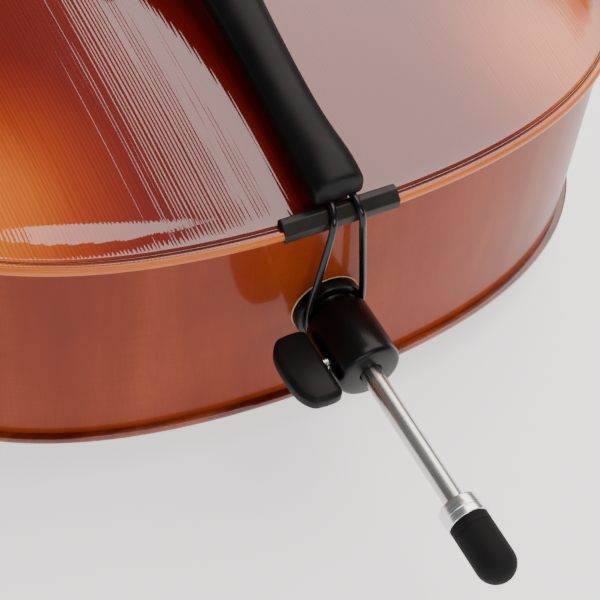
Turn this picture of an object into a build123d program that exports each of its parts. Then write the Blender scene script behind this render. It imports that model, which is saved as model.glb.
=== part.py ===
from build123d import *
import math
import os

import numpy as np

os.makedirs("parts", exist_ok=True)

# A full-size cello lying on its back. X runs across the body (bass side -X), Y from the endpin to
# the scroll, Z out of the front. Heights are counted from the plane of the back's edge and
# lengths from the bottom edge of the body; LENGTH_SHIFT and HEIGHT_SHIFT move both to the origin,
# which is under the middle of the whole instrument on the surface that it lies on.

# ---- body
BODY_LENGTH = 755.0
BODY_DEPTH = 127.8
PLATE = 4.4
OVERHANG = 4.0
RIB = 1.5
LINING = 2.2
LINING_HEIGHT = 14.0
TOP_ARCH = 25.0
BACK_ARCH = 24.5
EDGE_FLAT = 7.0
PURFLING_INSET = 4.2
PURFLING_WIDTH = 1.4
PURFLING_DEPTH = 1.6
BLOCK_RADIUS = 36.0
END_BLOCK = (70.0, 24.0)
NECK_BLOCK = (86.0, 34.0)
BRIDGE_STATION = 355.0

# ---- neck
STRING_NUT_STATION = 1035.0
NUT_LENGTH = 9.0
BOARD_LENGTH = 580.0
BOARD_NUT_WIDTH = 32.0
BOARD_END_WIDTH = 63.0
BOARD_RADIUS = 62.0
BOARD_SIDE = 6.5
BOARD_NUT_HEIGHT = 109.0
BOARD_SLOPE = 0.182
NECK_DEPTH = 21.5
HEEL_MORTISE = 10.0
HEEL_BUTTON_HALF = 12.0
HEEL_TOP_HALF = 22.0
BUTTON_RADIUS = 14.0

# ---- pegbox and scroll, in the pegbox's own tilted plane
PEGBOX_TILT = 20.0
PEGBOX_LENGTH = 112.0
PEGBOX_NUT_HALF = 21.5
PEGBOX_THROAT_HALF = 15.0
PEGBOX_WALL = 8.0
SCROLL_ALONG = 150.0
SCROLL_BELOW = 14.0
SCROLL_RADIUS = 33.0
SCROLL_STEPS = ((33.0, 17.0), (25.0, 22.0), (17.0, 26.5), (8.5, 30.5))
PEG_DEPTH = 13.0
PEG_STATIONS = {"c": 24.0, "a": 46.0, "g": 69.0, "d": 91.0}
PEG_SIDES = {"c": -1, "a": 1, "g": -1, "d": 1}
PEG_COLLAR_RADIUS = 6.8
PEG_TAPER = 1 / 50
FIT = 0.05

# ---- strings
STRING_NAMES = ("c", "g", "d", "a")
STRING_RADII = {"c": 0.95, "g": 0.75, "d": 0.6, "a": 0.45}
BRIDGE_TOP = 241.0
BRIDGE_SPACING = 15.7
BRIDGE_RADIUS = 60.0
NUT_SPACING = 7.4
TAIL_SPACING = 15.6

# ---- tailpiece
TAIL_END = 237.0
TAIL_END_HEIGHT = 191.0
TAIL_TILT = 12.0
LEVER_PIVOT = (-10.0, -2.0)
LEVER_HALF = 2.0
SCREW_ALONG = -38.0
SCREW_RADIUS = 1.5

# ---- endpin
PIN_HEIGHT = BODY_DEPTH / 2
ROD_RADIUS = 5.0
ROD_LENGTH = 480.0
COLLAR_FACE = -41.4
COLLAR_RADIUS = 16.3
FLANGE_RADIUS = 17.6
GROOVE_RADIUS = 13.1
PLUG_RADIUS = 12.5
PLUG_END = 46.0
FERRULE_FACE = -120.5
FERRULE_RADIUS = 10.2
RUBBER_FACE = -130.4
RUBBER_RADIUS = 9.5
RUBBER_DOME = -152.4
SPIKE = 14.0
CLAMP_STATION = -28.0
CLAMP_RADIUS = 3.0

# ---- the frame
TILT = math.radians(PEGBOX_TILT)
PEGBOX_START = (STRING_NUT_STATION + NUT_LENGTH, 100.0)
SCROLL_CENTRE = (
    PEGBOX_START[0] + SCROLL_ALONG * math.cos(TILT) - SCROLL_BELOW * math.sin(TILT),
    PEGBOX_START[1] - SCROLL_ALONG * math.sin(TILT) - SCROLL_BELOW * math.cos(TILT),
)
SCROLL_TOP = SCROLL_CENTRE[0] + SCROLL_RADIUS
TIP_END = RUBBER_DOME - RUBBER_RADIUS
LENGTH_SHIFT = -(SCROLL_TOP + TIP_END) / 2
HEIGHT_SHIFT = BACK_ARCH


def spot(x, y, z):
    """A point given across, along and above the back's edge plane."""
    return Vector(x, y + LENGTH_SHIFT, z + HEIGHT_SHIFT)


def level(z):
    """A plane parallel to the plates, looking out of the front."""
    return Plane(origin=spot(0, 0, z), x_dir=(1, 0, 0), z_dir=(0, 0, 1))


def station(y):
    """A plane across the instrument, facing the endpin: its x is across, its y is up."""
    return Plane(origin=spot(0, y, 0), x_dir=(1, 0, 0), z_dir=(0, -1, 0))


def lengthwise(x):
    """A plane along the instrument: its x runs to the scroll, its y is up."""
    return Plane(origin=spot(x, 0, 0), x_dir=(0, 1, 0), z_dir=(1, 0, 0))


def tilted(x, y, z, degrees):
    """A lengthwise plane whose x axis climbs by this angle."""
    turn = math.radians(degrees)
    return Plane(origin=spot(x, y, z), x_dir=(0, math.cos(turn), math.sin(turn)), z_dir=(1, 0, 0))


def save(piece, name):
    piece.part.label = name
    export_step(piece.part, f"parts/{name}.step")


# ---- the outline and its arching
# The right half of the outline as three chains of cubic curves, from the bottom to the top,
# joined by the short straight ends of the corners.
LOWER_CHAIN = ((0, 0), (135.6, 0), (218, 44.2), (218, 149.35), (218, 200), (200, 222), (187.5, 246),
               (180.2, 260), (178, 272), (186, 287))
WAIST_CHAIN = ((181, 296), (140, 304), (115, 345), (115, 405), (115, 458), (124, 499), (146, 511))
UPPER_CHAIN = ((151, 520), (145.5, 535), (147, 548), (152.5, 566), (158, 584), (170, 602), (170, 628),
               (170, 703), (95, BODY_LENGTH), (0, BODY_LENGTH))


def inset_points(points, inset):
    """The control points moved inwards, so that every leg between them moves by inset."""
    moved = []
    for number, point in enumerate(points):
        legs = []
        for start, end in (points[max(number - 1, 0):][:2], points[min(number, len(points) - 2):][:2]):
            leg = Vector(end[0] - start[0], end[1] - start[1]).normalized()
            legs.append(Vector(-leg.Y, leg.X))
        inwards = (legs[0] + legs[1]) / (1 + legs[0].dot(legs[1]))
        moved.append((point[0] + inset * inwards.X, point[1] + inset * inwards.Y))
    return moved


def body_shape(inset):
    """The outline of the body, moved inwards."""
    moved = inset_points(LOWER_CHAIN + WAIST_CHAIN + UPPER_CHAIN, inset)
    waist_start = len(LOWER_CHAIN)
    upper_start = waist_start + len(WAIST_CHAIN)
    chains = (moved[:waist_start], moved[waist_start:upper_start], moved[upper_start:])
    with BuildSketch() as shape:
        with BuildLine():
            for chain in chains:
                for first in range(0, len(chain) - 1, 3):
                    Bezier(*chain[first:first + 4])
            Line(chains[0][-1], chains[1][0])
            Line(chains[1][-1], chains[2][0])
            mirror(about=Plane.YZ)
        make_face()
    return shape.sketch


edge_shape = body_shape(0)
rib_outside = body_shape(OVERHANG)
rib_inside = body_shape(OVERHANG + RIB)
lining_inside = body_shape(OVERHANG + RIB + LINING)
purfling_outside = body_shape(PURFLING_INSET)
purfling_inside = body_shape(PURFLING_INSET + PURFLING_WIDTH)

edge_wire = edge_shape.faces()[0].outer_wire()
EDGE_SAMPLES = 900
edge_points = np.array([
    tuple(edge_wire.position_at((number + 0.5) / EDGE_SAMPLES)) for number in range(EDGE_SAMPLES)
])
edge_step = edge_wire.length / EDGE_SAMPLES
right_side = edge_points[edge_points[:, 0] > 0]
right_side = right_side[np.argsort(right_side[:, 1])]


def edge_distance(x, y):
    """A smooth distance to the outline: exact beside a straight edge, blended where edges face."""
    away = np.hypot(edge_points[:, 0] - x, edge_points[:, 1] - y)
    gathered = np.sum(edge_step / away**4)
    return (2 * gathered / math.pi) ** (-1 / 3)


def arching(x, y):
    """The height of the arching as a share of its full height."""
    if not 0 < y < BODY_LENGTH or abs(x) >= np.interp(y, right_side[:, 1], right_side[:, 0]):
        return 0.0
    middle = edge_distance(0, y) - EDGE_FLAT
    inside = edge_distance(x, y) - EDGE_FLAT
    if inside <= 0 or middle <= 0:
        return 0.0
    along = (min(y, BODY_LENGTH - y) - EDGE_FLAT) / (BODY_LENGTH - 2 * EDGE_FLAT)
    along = max(along, 0)
    climb = math.sqrt(2 * along) * (1 - math.exp(-along / 0.03))
    lengthways = math.sin(math.pi / 2 * climb) ** 2
    crosswise = math.sin(math.pi / 2 * min(inside / middle, 1) ** 0.85) ** 2
    return lengthways * crosswise


ARCH_COLUMNS = np.linspace(-228, 228, 39)
ARCH_ROWS = np.linspace(-10, 785, 67)
arch_shares = [[arching(x, y) for x in ARCH_COLUMNS] for y in ARCH_ROWS]


def arch_face(base, height):
    """The arched surface over a plate's edge plane at base."""
    grid = [
        [spot(x, y, base + height * share) for x, share in zip(ARCH_COLUMNS, shares)]
        for y, shares in zip(ARCH_ROWS, arch_shares)
    ]
    return Face.make_surface_from_array_of_points(grid, tol=0.02)


front_face = arch_face(BODY_DEPTH, TOP_ARCH)
back_face = arch_face(0, -BACK_ARCH)


def neck_root(play):
    """The dovetail-shaped seat of the neck: wider towards the front."""
    with BuildPart() as root:
        with BuildSketch(station(BODY_LENGTH - OVERHANG - HEEL_MORTISE - play)):
            Polygon(
                (-HEEL_BUTTON_HALF - play, 0),
                (HEEL_BUTTON_HALF + play, 0),
                (HEEL_TOP_HALF + play, 160),
                (-HEEL_TOP_HALF - play, 160),
                align=None,
            )
        extrude(amount=-60)
    return root.part


root_space = neck_root(FIT)

# ---- f-holes
F_POINTS = ((-50, 424), (-57, 428), (-60, 416), (-66, 372), (-80, 330), (-93, 286), (-97, 270),
            (-106, 270))
F_WIDTH = 7.5
F_UPPER_EYE = (-49.5, 421.5, 7.0)
F_LOWER_EYE = (-106.5, 277.5, 9.0)

with BuildPart() as f_holes:
    with BuildSketch(level(BODY_DEPTH - 20)):
        with BuildLine():
            Spline(*F_POINTS)
        trace(line_width=F_WIDTH)
        for across, along, radius in (F_UPPER_EYE, F_LOWER_EYE):
            with Locations((across, along)):
                Circle(radius)
        mirror(about=Plane.YZ)
    extrude(amount=80)

# ---- saddle
SADDLE_HALF = 28.7
SADDLE_SEAT = 9.0
SADDLE_BASE = 122.6

with BuildPart() as saddle:
    with BuildSketch(lengthwise(-SADDLE_HALF)):
        Polygon((0, SADDLE_BASE), (SADDLE_SEAT, SADDLE_BASE), (SADDLE_SEAT, 129.4), (7.6, 131.0),
                (4.4, 131.0), (0, 127.4), align=None)
    extrude(amount=2 * SADDLE_HALF)
    fillet(saddle.edges().filter_by(Axis.X).sort_by(Axis.Z)[-4:-1], 0.8)
save(saddle, "saddle")

with BuildPart() as saddle_space:
    with BuildSketch(lengthwise(-SADDLE_HALF - FIT)):
        Polygon((-5, SADDLE_BASE - FIT), (SADDLE_SEAT + FIT, SADDLE_BASE - FIT),
                (SADDLE_SEAT + FIT, 140), (-5, 140), align=None)
    extrude(amount=2 * (SADDLE_HALF + FIT))

# ---- plates
with BuildPart() as top_plate:
    with BuildSketch(level(BODY_DEPTH - PLATE - 1)):
        add(edge_shape)
    extrude(amount=PLATE + TOP_ARCH + 4)
    extrude(front_face, amount=PLATE, dir=(0, 0, -1), mode=Mode.INTERSECT)
    with BuildSketch(level(BODY_DEPTH - PURFLING_DEPTH)):
        add(purfling_outside)
        add(purfling_inside, mode=Mode.SUBTRACT)
    extrude(amount=PURFLING_DEPTH + 1, mode=Mode.SUBTRACT)
    add(f_holes.part, mode=Mode.SUBTRACT)
    add(saddle_space.part, mode=Mode.SUBTRACT)
    add(root_space, mode=Mode.SUBTRACT)
save(top_plate, "top_plate")

with BuildPart() as back_plate:
    with BuildSketch(level(-BACK_ARCH - 4)):
        add(edge_shape)
        with Locations((0, BODY_LENGTH + 8)):
            Circle(BUTTON_RADIUS)
    extrude(amount=BACK_ARCH + PLATE + 5)
    extrude(back_face, amount=PLATE, dir=(0, 0, 1), mode=Mode.INTERSECT)
    with BuildSketch(level(PURFLING_DEPTH)):
        add(purfling_outside)
        add(purfling_inside, mode=Mode.SUBTRACT)
    extrude(amount=-PURFLING_DEPTH - 1, mode=Mode.SUBTRACT)
save(back_plate, "back_plate")


for plate_name, base in (("top", BODY_DEPTH - PURFLING_DEPTH), ("back", 0)):
    with BuildPart() as purfling:
        with BuildSketch(level(base)):
            add(purfling_outside)
            add(purfling_inside, mode=Mode.SUBTRACT)
        extrude(amount=PURFLING_DEPTH)
        if plate_name == "top":
            add(saddle_space.part, mode=Mode.SUBTRACT)
            add(root_space, mode=Mode.SUBTRACT)
    save(purfling, f"{plate_name}_purfling")

# ---- ribs, blocks and linings
GLUE = 0.12
RIB_BASE = PLATE + GLUE
RIB_HEIGHT = BODY_DEPTH - 2 * RIB_BASE
LOWER_CUT = ((0, 200), (110, 257.5), (260, 327.0))
UPPER_CUT = ((0, 566.2), (260, 477.5))
RIB_ZONES = {
    "lower": ((0, -20), (260, -20), LOWER_CUT[2], LOWER_CUT[1], LOWER_CUT[0]),
    "c": (LOWER_CUT[0], LOWER_CUT[1], LOWER_CUT[2], UPPER_CUT[1], UPPER_CUT[0]),
    "upper": (UPPER_CUT[0], UPPER_CUT[1], (260, 800), (0, 800)),
}

with BuildPart() as plug_space:
    with BuildSketch(station(60)):
        with Locations((0, PIN_HEIGHT)):
            Circle(PLUG_RADIUS + FIT)
    extrude(amount=80)

with BuildPart() as rib_ring:
    with BuildSketch(level(RIB_BASE)):
        add(rib_outside)
        add(rib_inside, mode=Mode.SUBTRACT)
    extrude(amount=RIB_HEIGHT)
    add(root_space, mode=Mode.SUBTRACT)
    add(plug_space.part, mode=Mode.SUBTRACT)
    add(saddle_space.part, mode=Mode.SUBTRACT)

for zone, corners in RIB_ZONES.items():
    for side_name, side in (("bass", -1), ("treble", 1)):
        with BuildPart() as rib:
            add(rib_ring.part)
            with BuildSketch(level(0)):
                Polygon(*((side * x, y) for x, y in corners), align=None)
            extrude(amount=BODY_DEPTH, mode=Mode.INTERSECT)
        save(rib, f"{zone}_rib_{side_name}")

CORNER_SPOTS = [(side * x, y) for x, y in ((172, 288), (140, 518)) for side in (-1, 1)]

with BuildPart() as inside_ribs:
    with BuildSketch(level(RIB_BASE)):
        add(rib_inside)
    extrude(amount=RIB_HEIGHT)

with BuildPart() as corner_blocks:
    with BuildSketch(level(RIB_BASE)):
        with Locations(*CORNER_SPOTS):
            Circle(BLOCK_RADIUS)
    extrude(amount=RIB_HEIGHT)
    add(inside_ribs.part, mode=Mode.INTERSECT)
save(corner_blocks, "corner_blocks")

with BuildPart() as end_block:
    with BuildSketch(level(RIB_BASE)):
        with Locations((0, OVERHANG + RIB + END_BLOCK[1] / 2)):
            Rectangle(END_BLOCK[0], END_BLOCK[1] + 4)
    extrude(amount=RIB_HEIGHT)
    add(inside_ribs.part, mode=Mode.INTERSECT)
    add(plug_space.part, mode=Mode.SUBTRACT)
    add(saddle_space.part, mode=Mode.SUBTRACT)
save(end_block, "end_block")

with BuildPart() as neck_block:
    with BuildSketch(level(RIB_BASE)):
        with Locations((0, BODY_LENGTH - OVERHANG - RIB - NECK_BLOCK[1] / 2)):
            Rectangle(NECK_BLOCK[0], NECK_BLOCK[1] + 4)
    extrude(amount=RIB_HEIGHT)
    add(inside_ribs.part, mode=Mode.INTERSECT)
    add(root_space, mode=Mode.SUBTRACT)
save(neck_block, "neck_block")


def linings(base):
    """The six strips glued inside the ribs' edge, between the blocks."""
    with BuildPart() as strips:
        with BuildSketch(level(base)):
            add(rib_inside)
            add(lining_inside, mode=Mode.SUBTRACT)
        extrude(amount=LINING_HEIGHT)
        with BuildSketch(level(0)):
            with Locations(*CORNER_SPOTS):
                Circle(BLOCK_RADIUS + FIT)
            with Locations((0, 20), (0, BODY_LENGTH - 20)):
                Rectangle(NECK_BLOCK[0] + 4, 60)
        extrude(amount=BODY_DEPTH, mode=Mode.SUBTRACT)
    return strips


save(linings(RIB_BASE), "back_linings")
save(linings(BODY_DEPTH - RIB_BASE - LINING_HEIGHT), "top_linings")

# ---- bass bar and sound post
BAR_ACROSS = -22.0
BAR_HALF = 5.5
POST_SPOT = (26.0, 331.0)
POST_RADIUS = 5.5

with BuildPart() as above_front_inside:
    extrude(front_face.moved(Location((0, 0, -PLATE - FIT))), amount=90, dir=(0, 0, 1))

with BuildPart() as below_back_inside:
    extrude(back_face.moved(Location((0, 0, PLATE + FIT))), amount=90, dir=(0, 0, -1))

with BuildPart() as bass_bar:
    with BuildSketch(lengthwise(BAR_ACROSS - BAR_HALF)):
        with BuildLine():
            Polyline((70, 160), (70, 124.5), (85, 123.5))
            Spline((85, 123.5), (BRIDGE_STATION, 122.5), (670, 123.5))
            Polyline((670, 123.5), (685, 124.5), (685, 160), (70, 160))
        make_face()
    extrude(amount=2 * BAR_HALF)
    add(above_front_inside.part, mode=Mode.SUBTRACT)
save(bass_bar, "bass_bar")

with BuildPart() as sound_post:
    with BuildSketch(level(-40)):
        with Locations(POST_SPOT):
            Circle(POST_RADIUS)
    extrude(amount=220)
    add(above_front_inside.part, mode=Mode.SUBTRACT)
    add(below_back_inside.part, mode=Mode.SUBTRACT)
save(sound_post, "sound_post")

# ---- fingerboard, nut and neck
BOARD_FREE_END = STRING_NUT_STATION - BOARD_LENGTH


def board_half(y):
    """Half the fingerboard's width at a station."""
    share = (STRING_NUT_STATION - y) / BOARD_LENGTH
    return (BOARD_NUT_WIDTH + (BOARD_END_WIDTH - BOARD_NUT_WIDTH) * share) / 2


def board_top(y):
    """The height of the fingerboard's middle line."""
    return BOARD_NUT_HEIGHT + BOARD_SLOPE * (STRING_NUT_STATION - y)


def board_rise(y):
    """How far the middle of the playing surface stands above its sides."""
    return BOARD_RADIUS - math.sqrt(BOARD_RADIUS**2 - board_half(y)**2)


UNDERSIDE_ENDS = [board_top(y) - board_rise(y) - BOARD_SIDE for y in (STRING_NUT_STATION, BOARD_FREE_END)]


def board_underside(y):
    """The flat underside, which is also the top of the neck."""
    share = (STRING_NUT_STATION - y) / BOARD_LENGTH
    return UNDERSIDE_ENDS[0] + (UNDERSIDE_ENDS[1] - UNDERSIDE_ENDS[0]) * share


with BuildPart() as fingerboard:
    for y in (BOARD_FREE_END, (BOARD_FREE_END + STRING_NUT_STATION) / 2, STRING_NUT_STATION):
        half = board_half(y)
        low = board_underside(y)
        side_top = board_top(y) - board_rise(y)
        with BuildSketch(station(y)):
            with BuildLine():
                Polyline((-half, side_top), (-half, low), (half, low), (half, side_top))
                ThreePointArc((half, side_top), (0, board_top(y)), (-half, side_top))
            make_face()
    loft()
save(fingerboard, "fingerboard")

NUT_RISE = 1.2
with BuildPart() as nut:
    with BuildSketch(station(STRING_NUT_STATION)):
        half = BOARD_NUT_WIDTH / 2
        low = board_underside(STRING_NUT_STATION)
        top = board_top(STRING_NUT_STATION) + NUT_RISE
        with BuildLine():
            Polyline((-half, top - 2.4), (-half, low), (half, low), (half, top - 2.4))
            ThreePointArc((half, top - 2.4), (0, top), (-half, top - 2.4))
        make_face()
    extrude(amount=-NUT_LENGTH)
    # the back of the nut falls away more steeply than any string
    with BuildSketch(lengthwise(0)):
        Polygon((STRING_NUT_STATION + 2, top + 0.2), (STRING_NUT_STATION + NUT_LENGTH + 1, top - 9),
                (STRING_NUT_STATION + NUT_LENGTH + 1, top + 1), align=None)
    extrude(amount=30, both=True, mode=Mode.SUBTRACT)
save(nut, "nut")

PEGBOX_PLANE = tilted(0, *PEGBOX_START, -PEGBOX_TILT)


def neck_section(y, depth):
    """The half-round section of the neck under the fingerboard."""
    half = board_half(y)
    low = board_underside(y) - FIT
    with BuildSketch(station(y)) as section:
        with BuildLine():
            Polyline((-half, low - 4), (-half, low), (half, low), (half, low - 4))
            ThreePointArc((half, low - 4), (half * 0.72, low - depth * 0.78), (0, low - depth))
            ThreePointArc((0, low - depth), (-half * 0.72, low - depth * 0.78), (-half, low - 4))
        make_face()
    return section


with BuildPart() as pegbox_space:
    with BuildSketch(PEGBOX_PLANE):
        Polygon((5, 12), (5, -33), (20, -37), (60, -33), (103, -22), (103, 12), align=None)
    extrude(amount=40, both=True)
    with BuildSketch(Plane(PEGBOX_PLANE.origin, x_dir=PEGBOX_PLANE.x_dir, z_dir=PEGBOX_PLANE.y_dir)):
        Polygon((5, PEGBOX_NUT_HALF - PEGBOX_WALL), (103, PEGBOX_THROAT_HALF - PEGBOX_WALL),
                (103, PEGBOX_WALL - PEGBOX_THROAT_HALF), (5, PEGBOX_WALL - PEGBOX_NUT_HALF), align=None)
    extrude(amount=90, both=True, mode=Mode.INTERSECT)


def pegbox_half(along):
    """Half the outer width of the pegbox at a place along it."""
    return PEGBOX_NUT_HALF + (PEGBOX_THROAT_HALF - PEGBOX_NUT_HALF) * along / PEGBOX_LENGTH


def peg_shaft(name, play):
    """The tapered shaft of a peg and the end of its hole in the far wall."""
    side = PEG_SIDES[name]
    spot_plane = Plane(
        PEGBOX_PLANE.from_local_coords(Vector(PEG_STATIONS[name], -PEG_DEPTH, 0)),
        x_dir=(side, 0, 0),
        z_dir=(0, 0, side),
    )
    wall = pegbox_half(PEG_STATIONS[name])
    narrow = PEG_COLLAR_RADIUS - (2 * wall + 6) * PEG_TAPER
    with BuildPart() as shaft:
        with BuildSketch(spot_plane):
            Polygon((-wall - 1, 0), (wall + 5, 0), (wall + 5, PEG_COLLAR_RADIUS + play),
                    (-wall - 1, narrow + play), align=None)
        revolve(axis=Axis(spot_plane.origin, (1, 0, 0)))
    return shaft.part, spot_plane, wall


with BuildPart() as head:
    with BuildSketch(PEGBOX_PLANE):
        Polygon((0, -0.3), (106, 0), (124, -2), (150, 12), (150, -45), (124, -30), (60, -41),
                (20, -45.5), (4, -43), (-5, -26), align=None)
    extrude(amount=40, both=True)
    with BuildSketch(Plane(PEGBOX_PLANE.origin, x_dir=PEGBOX_PLANE.x_dir, z_dir=PEGBOX_PLANE.y_dir)):
        Polygon((-15, 15.9), (2, PEGBOX_NUT_HALF), (PEGBOX_LENGTH, PEGBOX_THROAT_HALF), (151, 17),
                (151, -17), (PEGBOX_LENGTH, -PEGBOX_THROAT_HALF), (2, -PEGBOX_NUT_HALF), (-15, -15.9),
                align=None)
    extrude(amount=90, both=True, mode=Mode.INTERSECT)

with BuildPart() as neck:
    # the half-round handle
    for y, depth in ((STRING_NUT_STATION - 4, NECK_DEPTH), (925, NECK_DEPTH + 0.8), (812, NECK_DEPTH + 2)):
        add(neck_section(y, depth).sketch.faces())
    loft()
    # the flat under the nut
    low = board_underside(STRING_NUT_STATION) - FIT
    with BuildSketch(lengthwise(0)):
        Polygon((STRING_NUT_STATION - 4, low - NECK_DEPTH + 1), (STRING_NUT_STATION - 4, low),
                (STRING_NUT_STATION + NUT_LENGTH, low), (STRING_NUT_STATION + NUT_LENGTH, low - 24),
                align=None)
    extrude(amount=BOARD_NUT_WIDTH / 2, both=True)
    # the heel, wider at the front than at the button
    with BuildSketch(lengthwise(0)):
        back = BODY_LENGTH - OVERHANG - HEEL_MORTISE
        underside = board_underside(812) - FIT
        Polygon((back, PLATE + FIT), (777, PLATE + FIT), (779, 34), (784, 66), (792, 92), (802, 110),
                (812, underside - NECK_DEPTH - 1.6), (812, underside),
                (back, board_underside(back) - FIT), align=None)
    extrude(amount=60, both=True)
    with BuildSketch(station(BODY_LENGTH - 40)):
        Polygon((-HEEL_BUTTON_HALF, 0), (HEEL_BUTTON_HALF, 0), (HEEL_TOP_HALF, 160),
                (-HEEL_TOP_HALF, 160), align=None)
    extrude(amount=-500, mode=Mode.INTERSECT)
    add(head.part)
    # the scroll, a stack of turns with the eye furthest out
    for radius, half in SCROLL_STEPS:
        with BuildSketch(PEGBOX_PLANE):
            with Locations((SCROLL_ALONG, -SCROLL_BELOW)):
                Circle(radius)
        extrude(amount=half, both=True)
    add(pegbox_space.part, mode=Mode.SUBTRACT)
    for name in STRING_NAMES:
        add(peg_shaft(name, FIT)[0], mode=Mode.SUBTRACT)
save(neck, "neck")

# ---- strings, from the ball behind the tuner's fork to the winding on the peg
NUT_RADIUS = 55.0
BEND_PLAY = 0.55


def across_share(name):
    """A string's place across the instrument, counted in string spacings from the middle."""
    return STRING_NAMES.index(name) - 1.5


def on_arc(height, radius, x):
    return height - radius + math.sqrt(radius**2 - x**2)


TAIL_PLANE = tilted(0, TAIL_END, TAIL_END_HEIGHT, TAIL_TILT)
BALL_ALONG = -17.4
BALL_ABOVE = 11.6
BALL_RADIUS = 2.3


def winding(name):
    """Where a peg's string winding lies: its place across, its centre and its radius."""
    ahead = {"c": -6.3, "g": -2.4, "d": 2.4, "a": 6.3}[name]
    centre = PEGBOX_PLANE.from_local_coords(Vector(PEG_STATIONS[name], -PEG_DEPTH, 0))
    return ahead, centre, PEG_COLLAR_RADIUS + 2 * STRING_RADII[name]


for name in STRING_NAMES:
    share = across_share(name)
    radius = STRING_RADII[name]
    ball = TAIL_PLANE.from_local_coords(Vector(BALL_ALONG, BALL_ABOVE, 0))
    ball = ball + Vector(share * TAIL_SPACING, 0, 0)
    bridge_across = share * BRIDGE_SPACING
    bridge_spot = spot(
        bridge_across,
        BRIDGE_STATION,
        on_arc(BRIDGE_TOP, BRIDGE_RADIUS, bridge_across) + radius + BEND_PLAY,
    )
    nut_across = share * NUT_SPACING
    nut_top = on_arc(board_top(STRING_NUT_STATION) + NUT_RISE, NUT_RADIUS, nut_across)
    nut_spot = spot(nut_across, STRING_NUT_STATION + 3.4, nut_top + radius + BEND_PLAY)
    wound_across, centre, wound_radius = winding(name)
    lift = wound_radius + radius + 0.15
    reach = Vector(0, centre.Y - nut_spot.Y, centre.Z - nut_spot.Z)
    drop = math.asin(lift / reach.length)
    heading = math.atan2(reach.Z, reach.Y) + drop
    end = centre + Vector(wound_across, -lift * math.sin(heading), lift * math.cos(heading))
    with BuildPart() as string:
        with BuildLine() as route:
            FilletPolyline(ball, bridge_spot, nut_spot, end, radius=[6, 4])
        with BuildSketch(Plane(route.line @ 0, z_dir=route.line % 0)):
            Circle(radius)
        sweep()
        with Locations(ball):
            Sphere(BALL_RADIUS)
    save(string, f"string_{name}")

# ---- pegs and their windings
for name in STRING_NAMES:
    shaft, spot_plane, wall = peg_shaft(name, 0)
    side = PEG_SIDES[name]
    head_plane = Plane(spot_plane.origin, x_dir=(side, 0, 0), z_dir=(0, side, 0))
    with BuildPart() as peg:
        add(shaft)
        with BuildSketch(spot_plane):
            Polygon((wall + 4.6, 0), (wall + 4.6, 9.5), (wall + 7, 10.5), (wall + 9.4, 9.5),
                    (wall + 11, 7), (wall + 18, 6), (wall + 18, 0), align=None)
        revolve(axis=Axis(spot_plane.origin, (1, 0, 0)))
        with BuildSketch(head_plane):
            with Locations((wall + 30, 0)):
                Ellipse(16.5, 19)
        extrude(amount=4.5, both=True)
        fillet(peg.edges().filter_by(GeomType.ELLIPSE), 2.5)
    save(peg, f"peg_{name}")
    wound_across, centre, wound_radius = winding(name)
    turns = 5 * STRING_RADII[name]
    with BuildPart() as coil:
        with BuildSketch(Plane(centre + Vector(wound_across, 0, 0), x_dir=(0, 1, 0), z_dir=(1, 0, 0))):
            Circle(wound_radius)
        extrude(amount=turns, both=True)
        add(shaft, mode=Mode.SUBTRACT)
    save(coil, f"peg_winding_{name}")

# ---- bridge
BRIDGE_FOOT_THICK = 11.0
BRIDGE_TOP_THICK = 2.8

with BuildPart() as bridge:
    with BuildSketch(station(BRIDGE_STATION)):
        with BuildLine():
            ThreePointArc((-30, on_arc(BRIDGE_TOP, BRIDGE_RADIUS, 30)), (0, BRIDGE_TOP),
                          (30, on_arc(BRIDGE_TOP, BRIDGE_RADIUS, 30)))
            Polyline((30, on_arc(BRIDGE_TOP, BRIDGE_RADIUS, 30)), (37, 222), (39, 214), (34, 207),
                     (25, 205), (25, 198), (34, 190), (37, 180), (38, 166), (46, 158), (46, 140),
                     (24, 140), (24, 158), (30, 164), (28, 176), (20, 183), (8, 187), (0, 188))
            mirror(about=Plane.YZ)
        make_face()
        with Locations((0, 208)):
            Circle(7, mode=Mode.SUBTRACT)
        with Locations((26, 213), (-26, 213)):
            Ellipse(7, 3.5, mode=Mode.SUBTRACT)
    extrude(amount=BRIDGE_FOOT_THICK, both=True)
    with BuildSketch(lengthwise(-60)):
        middle = BRIDGE_STATION
        Polygon((middle - BRIDGE_FOOT_THICK / 2, 130), (middle + BRIDGE_FOOT_THICK / 2, 130),
                (middle + BRIDGE_FOOT_THICK / 2, 158), (middle + BRIDGE_TOP_THICK / 2, BRIDGE_TOP + 1),
                (middle - BRIDGE_TOP_THICK / 2, BRIDGE_TOP + 1), (middle - BRIDGE_FOOT_THICK / 2, 158),
                align=None)
    extrude(amount=120, mode=Mode.INTERSECT)
    extrude(front_face.moved(Location((0, 0, FIT))), amount=60, dir=(0, 0, -1), mode=Mode.SUBTRACT)
save(bridge, "bridge")

# ---- tailpiece: sections given by station, half width, underside and crown
TAIL_SECTIONS = (
    (8, 10.5, 135.5, 144.0),
    (16, 11.8, 134.6, 148.0),
    (45, 11.2, 138.5, 151.8),
    (85, 11.9, 146.4, 160.4),
    (135, 14.3, 157.6, 173.2),
    (185, 21.5, 171.0, 187.0),
    (225, 29.5, 181.0, 197.4),
    (TAIL_END, 31.0, 184.2, 199.4),
)
TAIL_SIDE = 0.42
CORD_RADIUS = 1.75

with BuildPart() as pivot_pin:
    with BuildSketch(TAIL_PLANE):
        with Locations(LEVER_PIVOT):
            Circle(1.25)
    extrude(amount=28.5, both=True)
save(pivot_pin, "lever_pivot_pin")

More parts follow.
